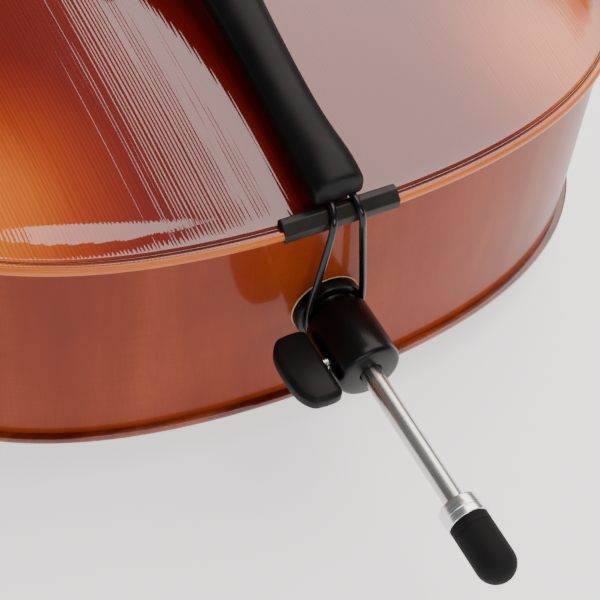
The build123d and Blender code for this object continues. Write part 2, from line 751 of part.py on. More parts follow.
with BuildPart() as tailpiece:
    for y, half, low, crown in TAIL_SECTIONS:
        shoulder = low + TAIL_SIDE * (crown - low)
        with BuildSketch(station(y)):
            with BuildLine():
                Polyline((-half, shoulder), (-half * 0.94, low), (half * 0.94, low), (half, shoulder))
                ThreePointArc((half, shoulder), (0, crown), (-half, shoulder))
            make_face()
    loft()
    # slots for the levers, and holes for the screws
    for name in STRING_NAMES:
        centre = across_share(name) * TAIL_SPACING
        with BuildSketch(TAIL_PLANE.offset(centre)):
            with Locations((-12, 0)):
                Rectangle(19, 60)
        extrude(amount=LEVER_HALF + 0.5, both=True, mode=Mode.SUBTRACT)
        screw_plane = Plane(
            TAIL_PLANE.from_local_coords(Vector(SCREW_ALONG, 0, 0)) + Vector(centre, 0, 0),
            x_dir=(1, 0, 0),
            z_dir=TAIL_PLANE.y_dir,
        )
        with BuildSketch(screw_plane):
            Circle(SCREW_RADIUS + FIT)
        extrude(amount=30, both=True, mode=Mode.SUBTRACT)
    add(pivot_pin.part, mode=Mode.SUBTRACT)
    # channels for the two ends of the cord
    for across in (-4.4, 7.2):
        with BuildSketch(lengthwise(across)):
            Polygon((4, 131), (4, 137.0), (36, 142.5), (36, 131), align=None)
        extrude(amount=CORD_RADIUS + 0.3, both=True, mode=Mode.SUBTRACT)
save(tailpiece, "tailpiece")

# ---- fine tuners
for name in STRING_NAMES:
    centre = across_share(name) * TAIL_SPACING
    with BuildPart() as lever:
        with BuildSketch(TAIL_PLANE.offset(centre)):
            Polygon((-42, -11.5), (-6.5, -11.5), (-6.5, 13.6), (-12.6, 13.6), (-12.6, -8.5), (-42, -8.5),
                    align=None)
            with Locations(LEVER_PIVOT):
                Circle(1.25 + FIT, mode=Mode.SUBTRACT)
        extrude(amount=LEVER_HALF, both=True)
        with BuildSketch(TAIL_PLANE.offset(centre)):
            Polygon((-20, 9.2), (0, 9.2), (0, 20), (-20, 20), align=None)
        extrude(amount=STRING_RADII[name] + 0.35, both=True, mode=Mode.SUBTRACT)
    save(lever, f"tuner_lever_{name}")
    screw_plane = Plane(
        TAIL_PLANE.from_local_coords(Vector(SCREW_ALONG, 0, 0)) + Vector(centre, 0, 0),
        x_dir=(1, 0, 0),
        z_dir=TAIL_PLANE.y_dir,
    )
    head_base = 11.0 if abs(centre) < TAIL_SPACING else 8.0
    with BuildPart() as shank:
        with BuildSketch(screw_plane.offset(-8.2)):
            Circle(SCREW_RADIUS)
        extrude(amount=head_base + 12.2)
    save(shank, f"tuner_shank_{name}")
    with BuildPart() as knob:
        with BuildSketch(screw_plane.offset(head_base)):
            Circle(4.6)
            Circle(SCREW_RADIUS + FIT, mode=Mode.SUBTRACT)
        extrude(amount=6.5)
        chamfer(knob.faces().sort_by(Axis.Z)[-1].edges().sort_by(SortBy.LENGTH)[-1], 0.8)
    save(knob, f"tuner_head_{name}")

# ---- tail cord: two ends under the tailpiece, over the saddle and round the collar's groove
GROOVE_STATION = -5.0
CORD_LOOP = 15.65
LOOP_CORNER = CORD_LOOP / math.cos(math.radians(32.5))
LOOP_TURNS = (-155, -90, -25)

loop_corners = [
    spot(LOOP_CORNER * math.cos(math.radians(turn)), GROOVE_STATION,
         PIN_HEIGHT + LOOP_CORNER * math.sin(math.radians(turn)))
    for turn in LOOP_TURNS
]
with BuildPart() as tail_cord:
    with BuildLine() as cord_route:
        FilletPolyline(
            spot(-4.4, 32, 139.0), spot(-4.4, 3.6, 133.7), spot(-6.3, -2.15, 128.2),
            spot(-7.0, -2.75, 120.0), *loop_corners,
            spot(8.9, -2.75, 120.0), spot(8.2, -2.15, 128.2), spot(7.2, 3.6, 133.7), spot(7.2, 32, 139.0),
            radius=[5, 5, 14, 15.1, 15.1, 15.1, 14, 5, 5],
        )
    with BuildSketch(Plane(cord_route.line @ 0, z_dir=cord_route.line % 0)):
        Circle(CORD_RADIUS)
    sweep()
save(tail_cord, "tail_cord")

# ---- endpin
CLAMP_GAP = 0.3
WING_FACE = 21.5


def turned(profile):
    """A solid of revolution on the endpin's axis from (station, radius) points."""
    with BuildPart() as piece:
        with BuildSketch(lengthwise(0)):
            with BuildLine():
                Polyline(*((y, PIN_HEIGHT + r) for y, r in profile), close=True)
            make_face()
        revolve(axis=Axis(spot(0, 0, PIN_HEIGHT), (0, 1, 0)))
    return piece


with BuildPart() as collar:
    add(turned((
        (COLLAR_FACE, 0), (COLLAR_FACE, COLLAR_RADIUS), (-7.2, COLLAR_RADIUS), (-6.9, GROOVE_RADIUS),
        (-2.5, GROOVE_RADIUS), (-2.2, FLANGE_RADIUS), (OVERHANG - FIT, FLANGE_RADIUS),
        (OVERHANG - FIT, PLUG_RADIUS), (PLUG_END, PLUG_RADIUS - 0.6), (PLUG_END, 0),
    )).part)
    with BuildSketch(station(100)):
        with Locations((0, PIN_HEIGHT)):
            Circle(ROD_RADIUS + FIT)
    extrude(amount=200, mode=Mode.SUBTRACT)
    with BuildSketch(lengthwise(0)):
        with Locations((CLAMP_STATION, PIN_HEIGHT)):
            Circle(CLAMP_RADIUS + FIT)
    extrude(amount=-40, mode=Mode.SUBTRACT)
    fillet(collar.edges().filter_by(GeomType.CIRCLE).group_by(Axis.Y)[0].sort_by(SortBy.LENGTH)[-1], 2.6)
save(collar, "endpin_collar")

with BuildPart() as clamp_bolt:
    with BuildSketch(lengthwise(-ROD_RADIUS - CLAMP_GAP)):
        with Locations((CLAMP_STATION, PIN_HEIGHT)):
            Circle(CLAMP_RADIUS)
    extrude(amount=-22)
save(clamp_bolt, "clamp_bolt")

WING_THICK = 6.4
with BuildPart() as clamp_wing:
    with BuildSketch(level(PIN_HEIGHT)):
        with BuildLine():
            Polyline((-29.8, -7.6), (-WING_FACE, -9.4), (-WING_FACE, -46.6), (-29.8, -49.0))
            Spline((-29.8, -49.0), (-35.6, -48.0), (-40.6, -40.5), (-41.3, -28.3), (-40.6, -16.1),
                   (-35.6, -8.6), (-29.8, -7.6))
        make_face()
    extrude(amount=WING_THICK / 2, both=True)
    with BuildSketch(lengthwise(-WING_FACE)):
        with Locations((CLAMP_STATION, PIN_HEIGHT)):
            Circle(6.0)
    extrude(amount=-9)
    fillet(clamp_wing.faces().filter_by(Axis.Z).group_by(Axis.Z)[-1].edges(), 1.2)
    fillet(clamp_wing.faces().filter_by(Axis.Z).group_by(Axis.Z)[0].edges(), 1.2)
    with BuildSketch(lengthwise(0)):
        with Locations((CLAMP_STATION, PIN_HEIGHT)):
            Circle(CLAMP_RADIUS + FIT)
    extrude(amount=-28, mode=Mode.SUBTRACT)
save(clamp_wing, "clamp_wing")

ROD_OUTER_END = RUBBER_FACE + 2
rod = turned((
    (ROD_OUTER_END - SPIKE, 0), (ROD_OUTER_END - SPIKE, 0.6), (ROD_OUTER_END, ROD_RADIUS),
    (ROD_OUTER_END + ROD_LENGTH - 1, ROD_RADIUS), (ROD_OUTER_END + ROD_LENGTH, ROD_RADIUS - 1),
    (ROD_OUTER_END + ROD_LENGTH, 0),
))
save(rod, "endpin_rod")

ferrule = turned((
    (RUBBER_FACE, ROD_RADIUS + FIT), (RUBBER_FACE, FERRULE_RADIUS - 0.3), (RUBBER_FACE + 0.3, FERRULE_RADIUS),
    (FERRULE_FACE - 0.6, FERRULE_RADIUS), (FERRULE_FACE, FERRULE_RADIUS - 0.6),
    (FERRULE_FACE, ROD_RADIUS + FIT),
))
save(ferrule, "tip_ferrule")

with BuildPart() as rubber_tip:
    with BuildSketch(lengthwise(0)):
        with BuildLine():
            Polyline((RUBBER_FACE, PIN_HEIGHT), (RUBBER_FACE, PIN_HEIGHT + RUBBER_RADIUS),
                     (RUBBER_DOME, PIN_HEIGHT + RUBBER_RADIUS))
            CenterArc((RUBBER_DOME, PIN_HEIGHT), RUBBER_RADIUS, 90, 90)
            Line((RUBBER_DOME - RUBBER_RADIUS, PIN_HEIGHT), (RUBBER_FACE, PIN_HEIGHT))
        make_face()
    revolve(axis=Axis(spot(0, 0, PIN_HEIGHT), (0, 1, 0)))
    add(turned((
        (ROD_OUTER_END - SPIKE - 1, 0), (ROD_OUTER_END - SPIKE - 1, 0.9),
        (ROD_OUTER_END - 1, ROD_RADIUS + FIT), (ROD_OUTER_END + 4, ROD_RADIUS + FIT),
        (ROD_OUTER_END + 4, 0),
    )).part, mode=Mode.SUBTRACT)
save(rubber_tip, "rubber_tip")
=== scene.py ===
import bpy
import bmesh
import math

import numpy as np
from mathutils import Matrix, Vector
from mathutils.geometry import delaunay_2d_cdt


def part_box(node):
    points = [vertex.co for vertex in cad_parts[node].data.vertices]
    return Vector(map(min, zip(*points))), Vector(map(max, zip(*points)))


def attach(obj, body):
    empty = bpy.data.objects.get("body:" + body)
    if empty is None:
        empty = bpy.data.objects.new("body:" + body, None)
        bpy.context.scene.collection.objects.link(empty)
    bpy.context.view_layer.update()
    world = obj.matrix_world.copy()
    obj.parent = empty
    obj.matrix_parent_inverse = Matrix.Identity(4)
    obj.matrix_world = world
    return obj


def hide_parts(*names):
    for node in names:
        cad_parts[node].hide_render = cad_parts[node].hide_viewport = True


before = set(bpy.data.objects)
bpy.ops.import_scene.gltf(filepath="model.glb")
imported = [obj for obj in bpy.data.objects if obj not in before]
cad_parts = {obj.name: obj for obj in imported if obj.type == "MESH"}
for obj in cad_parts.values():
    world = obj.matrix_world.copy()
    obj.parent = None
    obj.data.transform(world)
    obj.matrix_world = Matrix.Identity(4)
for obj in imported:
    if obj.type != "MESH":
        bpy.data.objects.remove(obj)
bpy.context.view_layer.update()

MM = 0.001

# ---------------------------------------------------------------- the body's own frame
# Lengths below are millimetres in the body's frame: x across (treble positive), y from the bottom
# edge of the body to the scroll, z up from the plane of the back's edge.
BODY_DEPTH = 127.8
BODY_LENGTH = 755.0
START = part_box("saddle")[0].y
BACK_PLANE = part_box("top_purfling")[1].z - BODY_DEPTH * MM
SHIFT = np.array((0.0, START, BACK_PLANE))


def placed(points):
    """Body-frame millimetres to row-frame metres."""
    return np.asarray(points, float) * MM + SHIFT


# ---------------------------------------------------------------- mesh helpers
def unit(vectors):
    return vectors / np.linalg.norm(vectors, axis=1)[:, None]


def mark_edges(mesh, angle):
    """Smooth faces, with edges sharper than angle kept crisp."""
    work = bmesh.new()
    work.from_mesh(mesh)
    for face in work.faces:
        face.smooth = True
    for edge in work.edges:
        if len(edge.link_faces) == 2:
            edge.smooth = edge.calc_face_angle(0.0) < math.radians(angle)
    work.to_mesh(mesh)
    work.free()


def piece_from(name, points, faces, materials, face_materials=None, angle=40, recalc=True):
    """A mesh piece from body-frame millimetres."""
    mesh = bpy.data.meshes.new(name)
    mesh.from_pydata([tuple(p) for p in placed(points)], [], [tuple(int(i) for i in f) for f in faces])
    for material in materials:
        mesh.materials.append(material)
    if face_materials is not None:
        mesh.polygons.foreach_set("material_index", np.asarray(face_materials, np.int32))
    if recalc:
        work = bmesh.new()
        work.from_mesh(mesh)
        bmesh.ops.recalc_face_normals(work, faces=work.faces)
        work.to_mesh(mesh)
        work.free()
    mark_edges(mesh, angle)
    piece = bpy.data.objects.new(name, mesh)
    bpy.context.scene.collection.objects.link(piece)
    return piece


def put(piece, body, slot, *nodes):
    """Rides the piece on its body and hides the CAD nodes it stands for; slot, the name of its finish, is not
    used.
    """
    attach(piece, body)
    if nodes:
        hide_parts(*nodes)
    return piece


def grid_faces(rows, columns, close_rows=False, close_columns=False):
    """Quads over a rows x columns block of points."""
    faces = []
    for row in range(rows if close_rows else rows - 1):
        following = (row + 1) % rows
        for column in range(columns if close_columns else columns - 1):
            beside = (column + 1) % columns
            faces.append((row * columns + column, row * columns + beside,
                          following * columns + beside, following * columns + column))
    return faces


def lofted(name, sections, materials, angle=40, caps=True):
    """A closed solid through sections, each a closed loop of as many points."""
    sections = np.asarray(sections, float)
    rows, columns = sections.shape[:2]
    points = sections.reshape(-1, 3)
    faces = grid_faces(rows, columns, close_columns=True)
    if caps:
        faces.append(tuple(range(columns)))
        faces.append(tuple(range((rows - 1) * columns, rows * columns)))
    return piece_from(name, points, faces, materials, angle=angle)


def turned(name, profile, centre, axis, materials, segments=96, angle=35, closed=False):
    """A solid of revolution. profile is (along the axis, radius) and centre the axis's zero."""
    axis = np.asarray(axis, float)
    aside = np.cross(axis, (0.0, 0.0, 1.0) if abs(axis[2]) < 0.9 else (1.0, 0.0, 0.0))
    aside /= np.linalg.norm(aside)
    third = np.cross(axis, aside)
    rows = []
    for along, radius in profile:
        turn = np.linspace(0, 2 * math.pi, segments, endpoint=False)
        ring = (np.asarray(centre, float) + axis * along + radius * np.cos(turn)[:, None] * aside
                + radius * np.sin(turn)[:, None] * third)
        rows.append(ring)
    points = np.concatenate(rows)
    faces = grid_faces(len(profile), segments, close_rows=closed, close_columns=True)
    if not closed:
        faces.append(tuple(range(segments)))
        faces.append(tuple(range((len(profile) - 1) * segments, len(profile) * segments)))
    return piece_from(name, points, faces, materials, angle=angle)


def rounded(profile, radius, steps=5):
    """A polyline of (along, radius) points with every inner corner rounded."""
    result = [profile[0]]
    for before, corner, after in zip(profile, profile[1:], profile[2:]):
        before, corner, after = (np.asarray(p, float) for p in (before, corner, after))
        back, ahead = before - corner, after - corner
        reach = min(radius, 0.45 * np.linalg.norm(back), 0.45 * np.linalg.norm(ahead))
        start = corner + back / np.linalg.norm(back) * reach
        end = corner + ahead / np.linalg.norm(ahead) * reach
        for step in range(steps + 1):
            share = step / steps
            result.append(tuple((1 - share)**2 * start + 2 * share * (1 - share) * corner
                                + share**2 * end))
    result.append(profile[-1])
    return result


def smooth_path(points, steps=12):
    """A Catmull-Rom line through body-frame points."""
    points = np.asarray(points, float)
    padded = np.vstack((2 * points[0] - points[1], points, 2 * points[-1] - points[-2]))
    line = []
    for first in range(len(points) - 1):
        a, b, c, d = padded[first:first + 4]
        for share in np.linspace(0, 1, steps, endpoint=False):
            line.append(0.5 * (2 * b + (c - a) * share + (2 * a - 5 * b + 4 * c - d) * share**2
                               + (3 * b - a - 3 * c + d) * share**3))
    line.append(points[-1])
    return np.array(line)


def tube(name, line, radius, materials, segments=24, angle=50, flat=1.0):
    """A round tube along a line of body-frame points; radius may vary along it."""
    line = np.asarray(line, float)
    radii = np.broadcast_to(np.asarray(radius, float), (len(line),))
    heading = np.gradient(line, axis=0)
    heading = unit(heading)
    side = np.cross(heading[0], (0.0, 0.0, 1.0))
    if np.linalg.norm(side) < 0.2:
        side = np.cross(heading[0], (1.0, 0.0, 0.0))
    side /= np.linalg.norm(side)
    sections = []
    for point, direction, reach in zip(line, heading, radii):
        side = side - direction * np.dot(side, direction)
        side /= np.linalg.norm(side)
        other = np.cross(direction, side)
        turn = np.linspace(0, 2 * math.pi, segments, endpoint=False)
        sections.append(point + reach * np.cos(turn)[:, None] * side
                        + flat * reach * np.sin(turn)[:, None] * other)
    return lofted(name, sections, materials, angle=angle)


# ---------------------------------------------------------------- the outline and the arching
LOWER_CHAIN = ((0, 0), (135.6, 0), (218, 44.2), (218, 149.35), (218, 200), (200, 222), (187.5, 246),
               (180.2, 260), (178, 272), (186, 287))
WAIST_CHAIN = ((181, 296), (140, 304), (115, 345), (115, 405), (115, 458), (124, 499), (146, 511))
UPPER_CHAIN = ((151, 520), (145.5, 535), (147, 548), (152.5, 566), (158, 584), (170, 602), (170, 628),
               (170, 703), (95, BODY_LENGTH), (0, BODY_LENGTH))
CURVE_STEPS = ((84, 30, 14), (40, 36), (14, 20, 70))
CORNER_STEPS = 6
EDGE_FLAT = 7.0
TOP_ARCH = 25.0
BACK_ARCH = 24.5
PLATE = 4.4


def inset_points(points, inset):
    points = np.asarray(points, float)
    legs = np.diff(points, axis=0)
    legs = unit(legs)
    inwards = np.stack((-legs[:, 1], legs[:, 0]), axis=1)
    first = np.vstack((inwards[:1], inwards))
    second = np.vstack((inwards, inwards[-1:]))
    share = 1 + np.sum(first * second, axis=1)
    return points + inset * (first + second) / share[:, None]


def bezier(points, steps):
    share = np.linspace(0, 1, steps, endpoint=False)[:, None]
    a, b, c, d = points
    return ((1 - share)**3 * a + 3 * share * (1 - share)**2 * b + 3 * share**2 * (1 - share) * c
            + share**3 * d)


def half_outline(inset):
    """The right half of the outline, moved inwards, with the indices of the two corners."""
    moved = inset_points(LOWER_CHAIN + WAIST_CHAIN + UPPER_CHAIN, inset)
    waist, upper = len(LOWER_CHAIN), len(LOWER_CHAIN) + len(WAIST_CHAIN)
    runs, corners = [], []
    for chain, counts in zip((moved[:waist], moved[waist:upper], moved[upper:]), CURVE_STEPS):
        for number, steps in enumerate(counts):
            runs.append(bezier(chain[3 * number:3 * number + 4], steps))
        if len(corners) < 2:
            corner_start = chain[-1]
            corner_end = moved[waist] if not corners else moved[upper]
            share = np.linspace(0, 1, CORNER_STEPS, endpoint=False)[:, None]
            corners.append(sum(len(run) for run in runs) + CORNER_STEPS // 2)
            runs.append(corner_start + (corner_end - corner_start) * share)
    runs.append(moved[-1:])
    return np.concatenate(runs), corners


def full_outline(inset):
    """The whole outline, counter-clockwise from the bottom centre."""
    right, _ = half_outline(inset)
    left = right[-2:0:-1] * (-1, 1)
    return np.vstack((right, left))


EDGE_LINE = full_outline(0)
FOLLOWING = np.roll(EDGE_LINE, -1, axis=0)
EDGE_STEP = np.linalg.norm(FOLLOWING - EDGE_LINE, axis=1)
EDGE_MIDDLE = (EDGE_LINE + FOLLOWING) / 2


def edge_distance(x, y):
    """A smooth distance to the outline: exact beside a straight edge, blended where edges face."""
    x, y = np.broadcast_arrays(np.asarray(x, float), np.asarray(y, float))
    result = np.empty(x.shape)
    flat_x, flat_y, flat = x.ravel(), y.ravel(), result.ravel()
    for start in range(0, flat_x.size, 4000):
        part = slice(start, start + 4000)
        square = ((EDGE_MIDDLE[:, 0] - flat_x[part, None])**2
                  + (EDGE_MIDDLE[:, 1] - flat_y[part, None])**2 + 1e-6)
        flat[part] = (2 * np.sum(EDGE_STEP / square**2, axis=1) / math.pi) ** (-1 / 3)
    return flat.reshape(x.shape)


MIDDLE_ROWS = np.linspace(0.5, BODY_LENGTH - 0.5, 400)
MIDDLE_DISTANCE = edge_distance(0 * MIDDLE_ROWS, MIDDLE_ROWS)


def arching(x, y):
    """The height of the arching as a share of its full height, for points inside the outline."""
    x, y = np.asarray(x, float), np.asarray(y, float)
    middle = np.maximum(np.interp(y, MIDDLE_ROWS, MIDDLE_DISTANCE) - EDGE_FLAT, 0.01)
    inside = np.clip((edge_distance(x, y) - EDGE_FLAT) / middle, 0, 1)
    along = (np.minimum(y, BODY_LENGTH - y) - EDGE_FLAT) / (BODY_LENGTH - 2 * EDGE_FLAT)
    along = np.clip(along, 0, 0.5)
    climb = np.sqrt(2 * along) * (1 - np.exp(-along / 0.03))
    return np.sin(math.pi / 2 * climb)**2 * np.sin(math.pi / 2 * inside**0.85)**2


# ---------------------------------------------------------------- material helpers
def blank(name, **values):
    """A material and its tree and shader, with plain values on the shader's sockets."""
    made = bpy.data.materials.new(name)
    made.use_nodes = True
    shader = made.node_tree.nodes["Principled BSDF"]
    for key, value in values.items():
        shader.inputs[key.replace("_", " ")].default_value = value
    return made, made.node_tree, shader


def node(tree, kind, settings=None, **inputs):
    """Adds a node, with values or sockets for its inputs."""
    made = tree.nodes.new(kind)
    for key, value in (settings or {}).items():
        setattr(made, key, value)
    for key, value in inputs.items():
        socket = made.inputs[int(key[1:])] if key[0] == "_" else made.inputs[key.replace("_", " ")]
        if isinstance(value, bpy.types.NodeSocket):
            tree.links.new(value, socket)
        else:
            socket.default_value = value
    return made


def calc(tree, operation, first, second=0.0, third=0.0):
    return node(tree, "ShaderNodeMath", {"operation": operation}, _0=first, _1=second,
                _2=third).outputs[0]


def times(tree, first, second):
    return calc(tree, "MULTIPLY", first, second)


def plus(tree, first, second):
    return calc(tree, "ADD", first, second)


def blended(tree, share, first, second):
    made = node(tree, "ShaderNodeMix", {"data_type": "RGBA", "blend_type": "MIX"}, _0=share)
    for place, value in ((6, first), (7, second)):
        if isinstance(value, bpy.types.NodeSocket):
            tree.links.new(value, made.inputs[place])
        else:
            made.inputs[place].default_value = (*value, 1.0)
    return made.outputs[2]


def ramp(tree, share, stops):
    """Colours or greys at places from 0 to 1."""
    made = node(tree, "ShaderNodeValToRGB", Fac=share)
    while len(made.color_ramp.elements) < len(stops):
        made.color_ramp.elements.new(0.5)
    for element, (place, value) in zip(made.color_ramp.elements, stops):
        element.position = place
        element.color = (*value, 1.0) if isinstance(value, tuple) else (value, value, value, 1.0)
    return made.outputs[0]


def span(tree, value, low, high, to_low=0.0, to_high=1.0):
    return node(tree, "ShaderNodeMapRange", _0=value, _1=low, _2=high, _3=to_low,
                _4=to_high).outputs[0]


def noise(tree, vector, scale, detail=3.0, stretch=(1, 1, 1), distortion=0.0, roughness=0.55):
    placed_vector = node(tree, "ShaderNodeMapping", Vector=vector, Scale=stretch).outputs[0]
    return node(tree, "ShaderNodeTexNoise", Vector=placed_vector, Scale=scale, Detail=detail,
                Distortion=distortion, Roughness=roughness).outputs[0]


def bump(tree, height, distance, strength=1.0, normal=None):
    made = node(tree, "ShaderNodeBump", Height=height, Distance=distance, Strength=strength)
    if normal is not None:
        tree.links.new(normal, made.inputs["Normal"])
    return made.outputs[0]


def local(tree):
    return node(tree, "ShaderNodeTexCoord").outputs["Object"]


# ---------------------------------------------------------------- materials
def spruce_varnish():
    """Straight fine grain along the body, book-matched at the middle seam, under a red gloss."""
    made, tree, shader = blank("spruce_varnish", Roughness=0.34, Coat_Weight=1.0, Coat_Roughness=0.022,
                               Coat_IOR=1.6, Specular_IOR_Level=0.06)
    here = local(tree)
    parts = node(tree, "ShaderNodeSeparateXYZ", Vector=here)
    from_seam = calc(tree, "ABSOLUTE", parts.outputs[0])
    drift = plus(tree, times(tree, noise(tree, here, 3.0, 2.0, (1, 0.3, 0)), 0.008),
                 times(tree, noise(tree, here, 1.0, 1.0, (190, 0.6, 0)), 0.0022))
    across = plus(tree, from_seam, drift)
    grain_spot = node(tree, "ShaderNodeCombineXYZ", _0=across, _1=parts.outputs[1]).outputs[0]
    rings = node(tree, "ShaderNodeTexWave", {"bands_direction": "X", "wave_profile": "SIN"},
                 Vector=grain_spot, Scale=172.0, Distortion=0.0, Detail=0.0).outputs[1]
    strength = span(tree, noise(tree, grain_spot, 1.0, 2.0, (240, 7, 1)), 0.35, 0.65, 0.5, 1.0)
    fibres = noise(tree, grain_spot, 1.0, 4.0, (1300, 20, 1))
    rays = noise(tree, here, 1.0, 3.0, (260, 900, 1))
    clouds = noise(tree, here, 9.0, 3.0, (1, 0.45, 1))
    amber = node(tree, "ShaderNodeAttribute", {"attribute_name": "amber"}).outputs["Fac"]
    tone = plus(tree, times(tree, amber, 0.8), times(tree, clouds, 0.3))
    body_colour = ramp(tree, tone, ((0.08, (0.105, 0.0030, 0.0010)), (0.26, (0.180, 0.0064, 0.0014)),
                                    (0.55, (0.390, 0.0440, 0.0024)), (0.95, (0.740, 0.1700, 0.0045))))
    lines = times(tree, span(tree, rings, 0.45, 1.0), strength)
    lined = blended(tree, times(tree, lines, 0.32), body_colour, (0.045, 0.0022, 0.0009))
    fine = blended(tree, times(tree, span(tree, fibres, 0.5, 0.75), 0.30), lined, (0.050, 0.0024, 0.0009))
    bead = node(tree, "ShaderNodeAttribute", {"attribute_name": "bead"}).outputs["Fac"]
    # Painted highlight: the rounded edge bead is painted bright orange, standing in for light caught along
    # the rim.
    bead_highlight = blended(tree, times(tree, bead, span(tree, clouds, 0.25, 0.6, 0.7, 1.0)), fine,
                   (0.560, 0.1350, 0.0180))
    seam = calc(tree, "LESS_THAN", from_seam, 0.00018)
    finished = blended(tree, times(tree, seam, 0.5), bead_highlight, (0.03, 0.003, 0.001))
    tree.links.new(finished, shader.inputs["Base Color"])
    tree.links.new(span(tree, bead, 0.0, 1.0, 1.0, 0.3), shader.inputs["Coat Weight"])
    relief = plus(tree, times(tree, times(tree, rings, strength), -0.85),
                  times(tree, fibres, 0.10))
    relief = plus(tree, relief, times(tree, rays, 0.07))
    surface = bump(tree, relief, 0.000026, 1.0)
    soft = bump(tree, noise(tree, here, 14.0, 2.0, (1, 0.5, 1)), 0.0006, 0.3, surface)
    tree.links.new(soft, shader.inputs["Normal"])
    tree.links.new(soft, shader.inputs["Coat Normal"])
    return made


def maple_varnish(name, flame_along, flame_scale, flame_depth, tones, coat=1.0, weave=0.35):
    """Maple under the same varnish; its flames run across the grain."""
    made, tree, shader = blank(name, Roughness=0.38, Coat_Weight=coat, Coat_Roughness=0.07, Coat_IOR=1.5,
                               Specular_IOR_Level=0.05)
    here = local(tree)
    parts = node(tree, "ShaderNodeSeparateXYZ", Vector=here)
    mirrored = calc(tree, "ABSOLUTE", parts.outputs[0])
    slanted = plus(tree, parts.outputs[1], times(tree, mirrored, 0.30))
    flame_spot = node(tree, "ShaderNodeCombineXYZ", _0=slanted, _1=mirrored, _2=parts.outputs[2]).outputs[0]
    if flame_along == "X":
        flame_spot = here
    flames = noise(tree, flame_spot, flame_scale, 3.0, (1, 0.13, 0.13) if flame_along != "X" else (1, 1, 0.1),
                   0.6)
    fibres = noise(tree, here, 1.0, 4.0, (900, 26, 900) if flame_along != "X" else (60, 60, 1600))
    cross = noise(tree, here, 1.0, 3.0, (1500, 1500, 90) if flame_along == "X" else (70, 1300, 70))
    clouds = noise(tree, here, 7.0, 3.0)
    tone = plus(tree, times(tree, span(tree, flames, 0.32, 0.68), flame_depth),
                times(tree, clouds, 1.0 - flame_depth))
    colour = ramp(tree, tone, ((0.15, tones[0]), (0.5, tones[1]), (0.85, tones[2])))
    threads = times(tree, plus(tree, span(tree, fibres, 0.35, 0.65),
                                          span(tree, cross, 0.35, 0.65)), 0.5)
    woven = blended(tree, times(tree, threads, weave), colour, tones[0])
    tree.links.new(woven, shader.inputs["Base Color"])
    relief = plus(tree, times(tree, fibres, 0.6), times(tree, cross, 0.5))
    surface = bump(tree, relief, 0.00003, 0.7)
    soft = bump(tree, noise(tree, here, 20.0, 2.0), 0.0005, 0.3, surface)
    tree.links.new(soft, shader.inputs["Normal"])
    tree.links.new(soft, shader.inputs["Coat Normal"])
    return made


def ebony(name="ebony", tone=(0.013, 0.0115, 0.0105), rough=0.34, along=(900, 14, 900)):
    """Nearly black wood with fine pores and a hand-rubbed sheen."""
    made, tree, shader = blank(name, Coat_Weight=0.06, Coat_Roughness=0.25, Specular_IOR_Level=0.2)
    here = local(tree)
    fibres = noise(tree, here, 1.0, 4.0, along)
    clouds = noise(tree, here, 40.0, 3.0)
    colour = ramp(tree, times(tree, plus(tree, fibres, clouds), 0.5),
                  ((0.35, tuple(0.55 * c for c in tone)), (0.55, tone), (0.7, tuple(1.9 * c for c in tone))))
    tree.links.new(colour, shader.inputs["Base Color"])
    tree.links.new(span(tree, clouds, 0.3, 0.7, rough - 0.07, rough + 0.1), shader.inputs["Roughness"])
    tree.links.new(bump(tree, fibres, 0.00005, 0.6), shader.inputs["Normal"])
    return made


def plain_wood(name, tones, along, rough=0.6, depth=0.00008, coat=0.0, shine=0.4):
    """Uncoloured wood with its grain along one direction."""
    made, tree, shader = blank(name, Coat_Weight=coat, Coat_Roughness=0.2, Specular_IOR_Level=shine)
    here = local(tree)
    fibres = noise(tree, here, 1.0, 4.0, along, 0.3)
    clouds = noise(tree, here, 22.0, 3.0)
    specks = noise(tree, here, 1.0, 2.0, tuple(2.4 * a for a in along))
    colour = ramp(tree, plus(tree, times(tree, fibres, 0.65), times(tree, clouds, 0.35)),
                  ((0.3, tones[0]), (0.5, tones[1]), (0.7, tones[2])))
    tree.links.new(blended(tree, times(tree, span(tree, specks, 0.6, 0.75), 0.35), colour, tones[0]),
                   shader.inputs["Base Color"])
    tree.links.new(span(tree, clouds, 0.3, 0.7, rough - 0.06, rough + 0.06), shader.inputs["Roughness"])
    tree.links.new(bump(tree, fibres, depth, 0.6), shader.inputs["Normal"])
    return made


def moulded(name, tone, rough, grain, depth, coat=0.0, coat_rough=0.2, wear=0.5, shine=0.2):
    """Moulded plastic, rubber or nylon with a fine texture and handling marks."""
    made, tree, shader = blank(name, Coat_Weight=coat, Coat_Roughness=coat_rough, Specular_IOR_Level=shine)
    here = local(tree)
    fine = noise(tree, here, grain, 3.0)
    clouds = noise(tree, here, 55.0, 4.0)
    scuffs = noise(tree, here, 260.0, 4.0, (1, 0.25, 1), 1.2)
    marks = times(tree, span(tree, scuffs, 0.58, 0.78), wear)
    colour = ramp(tree, clouds, ((0.3, tuple(0.75 * c for c in tone)), (0.55, tone),
                                 (0.75, tuple(1.35 * c for c in tone))))
    tree.links.new(blended(tree, times(tree, marks, 0.2), colour, (0.03, 0.03, 0.032)),
                   shader.inputs["Base Color"])
    tree.links.new(plus(tree, span(tree, clouds, 0.3, 0.7, rough - 0.05, rough + 0.05),
                        times(tree, marks, 0.12)), shader.inputs["Roughness"])
    tree.links.new(bump(tree, fine, depth, 0.7), shader.inputs["Normal"])
    return made


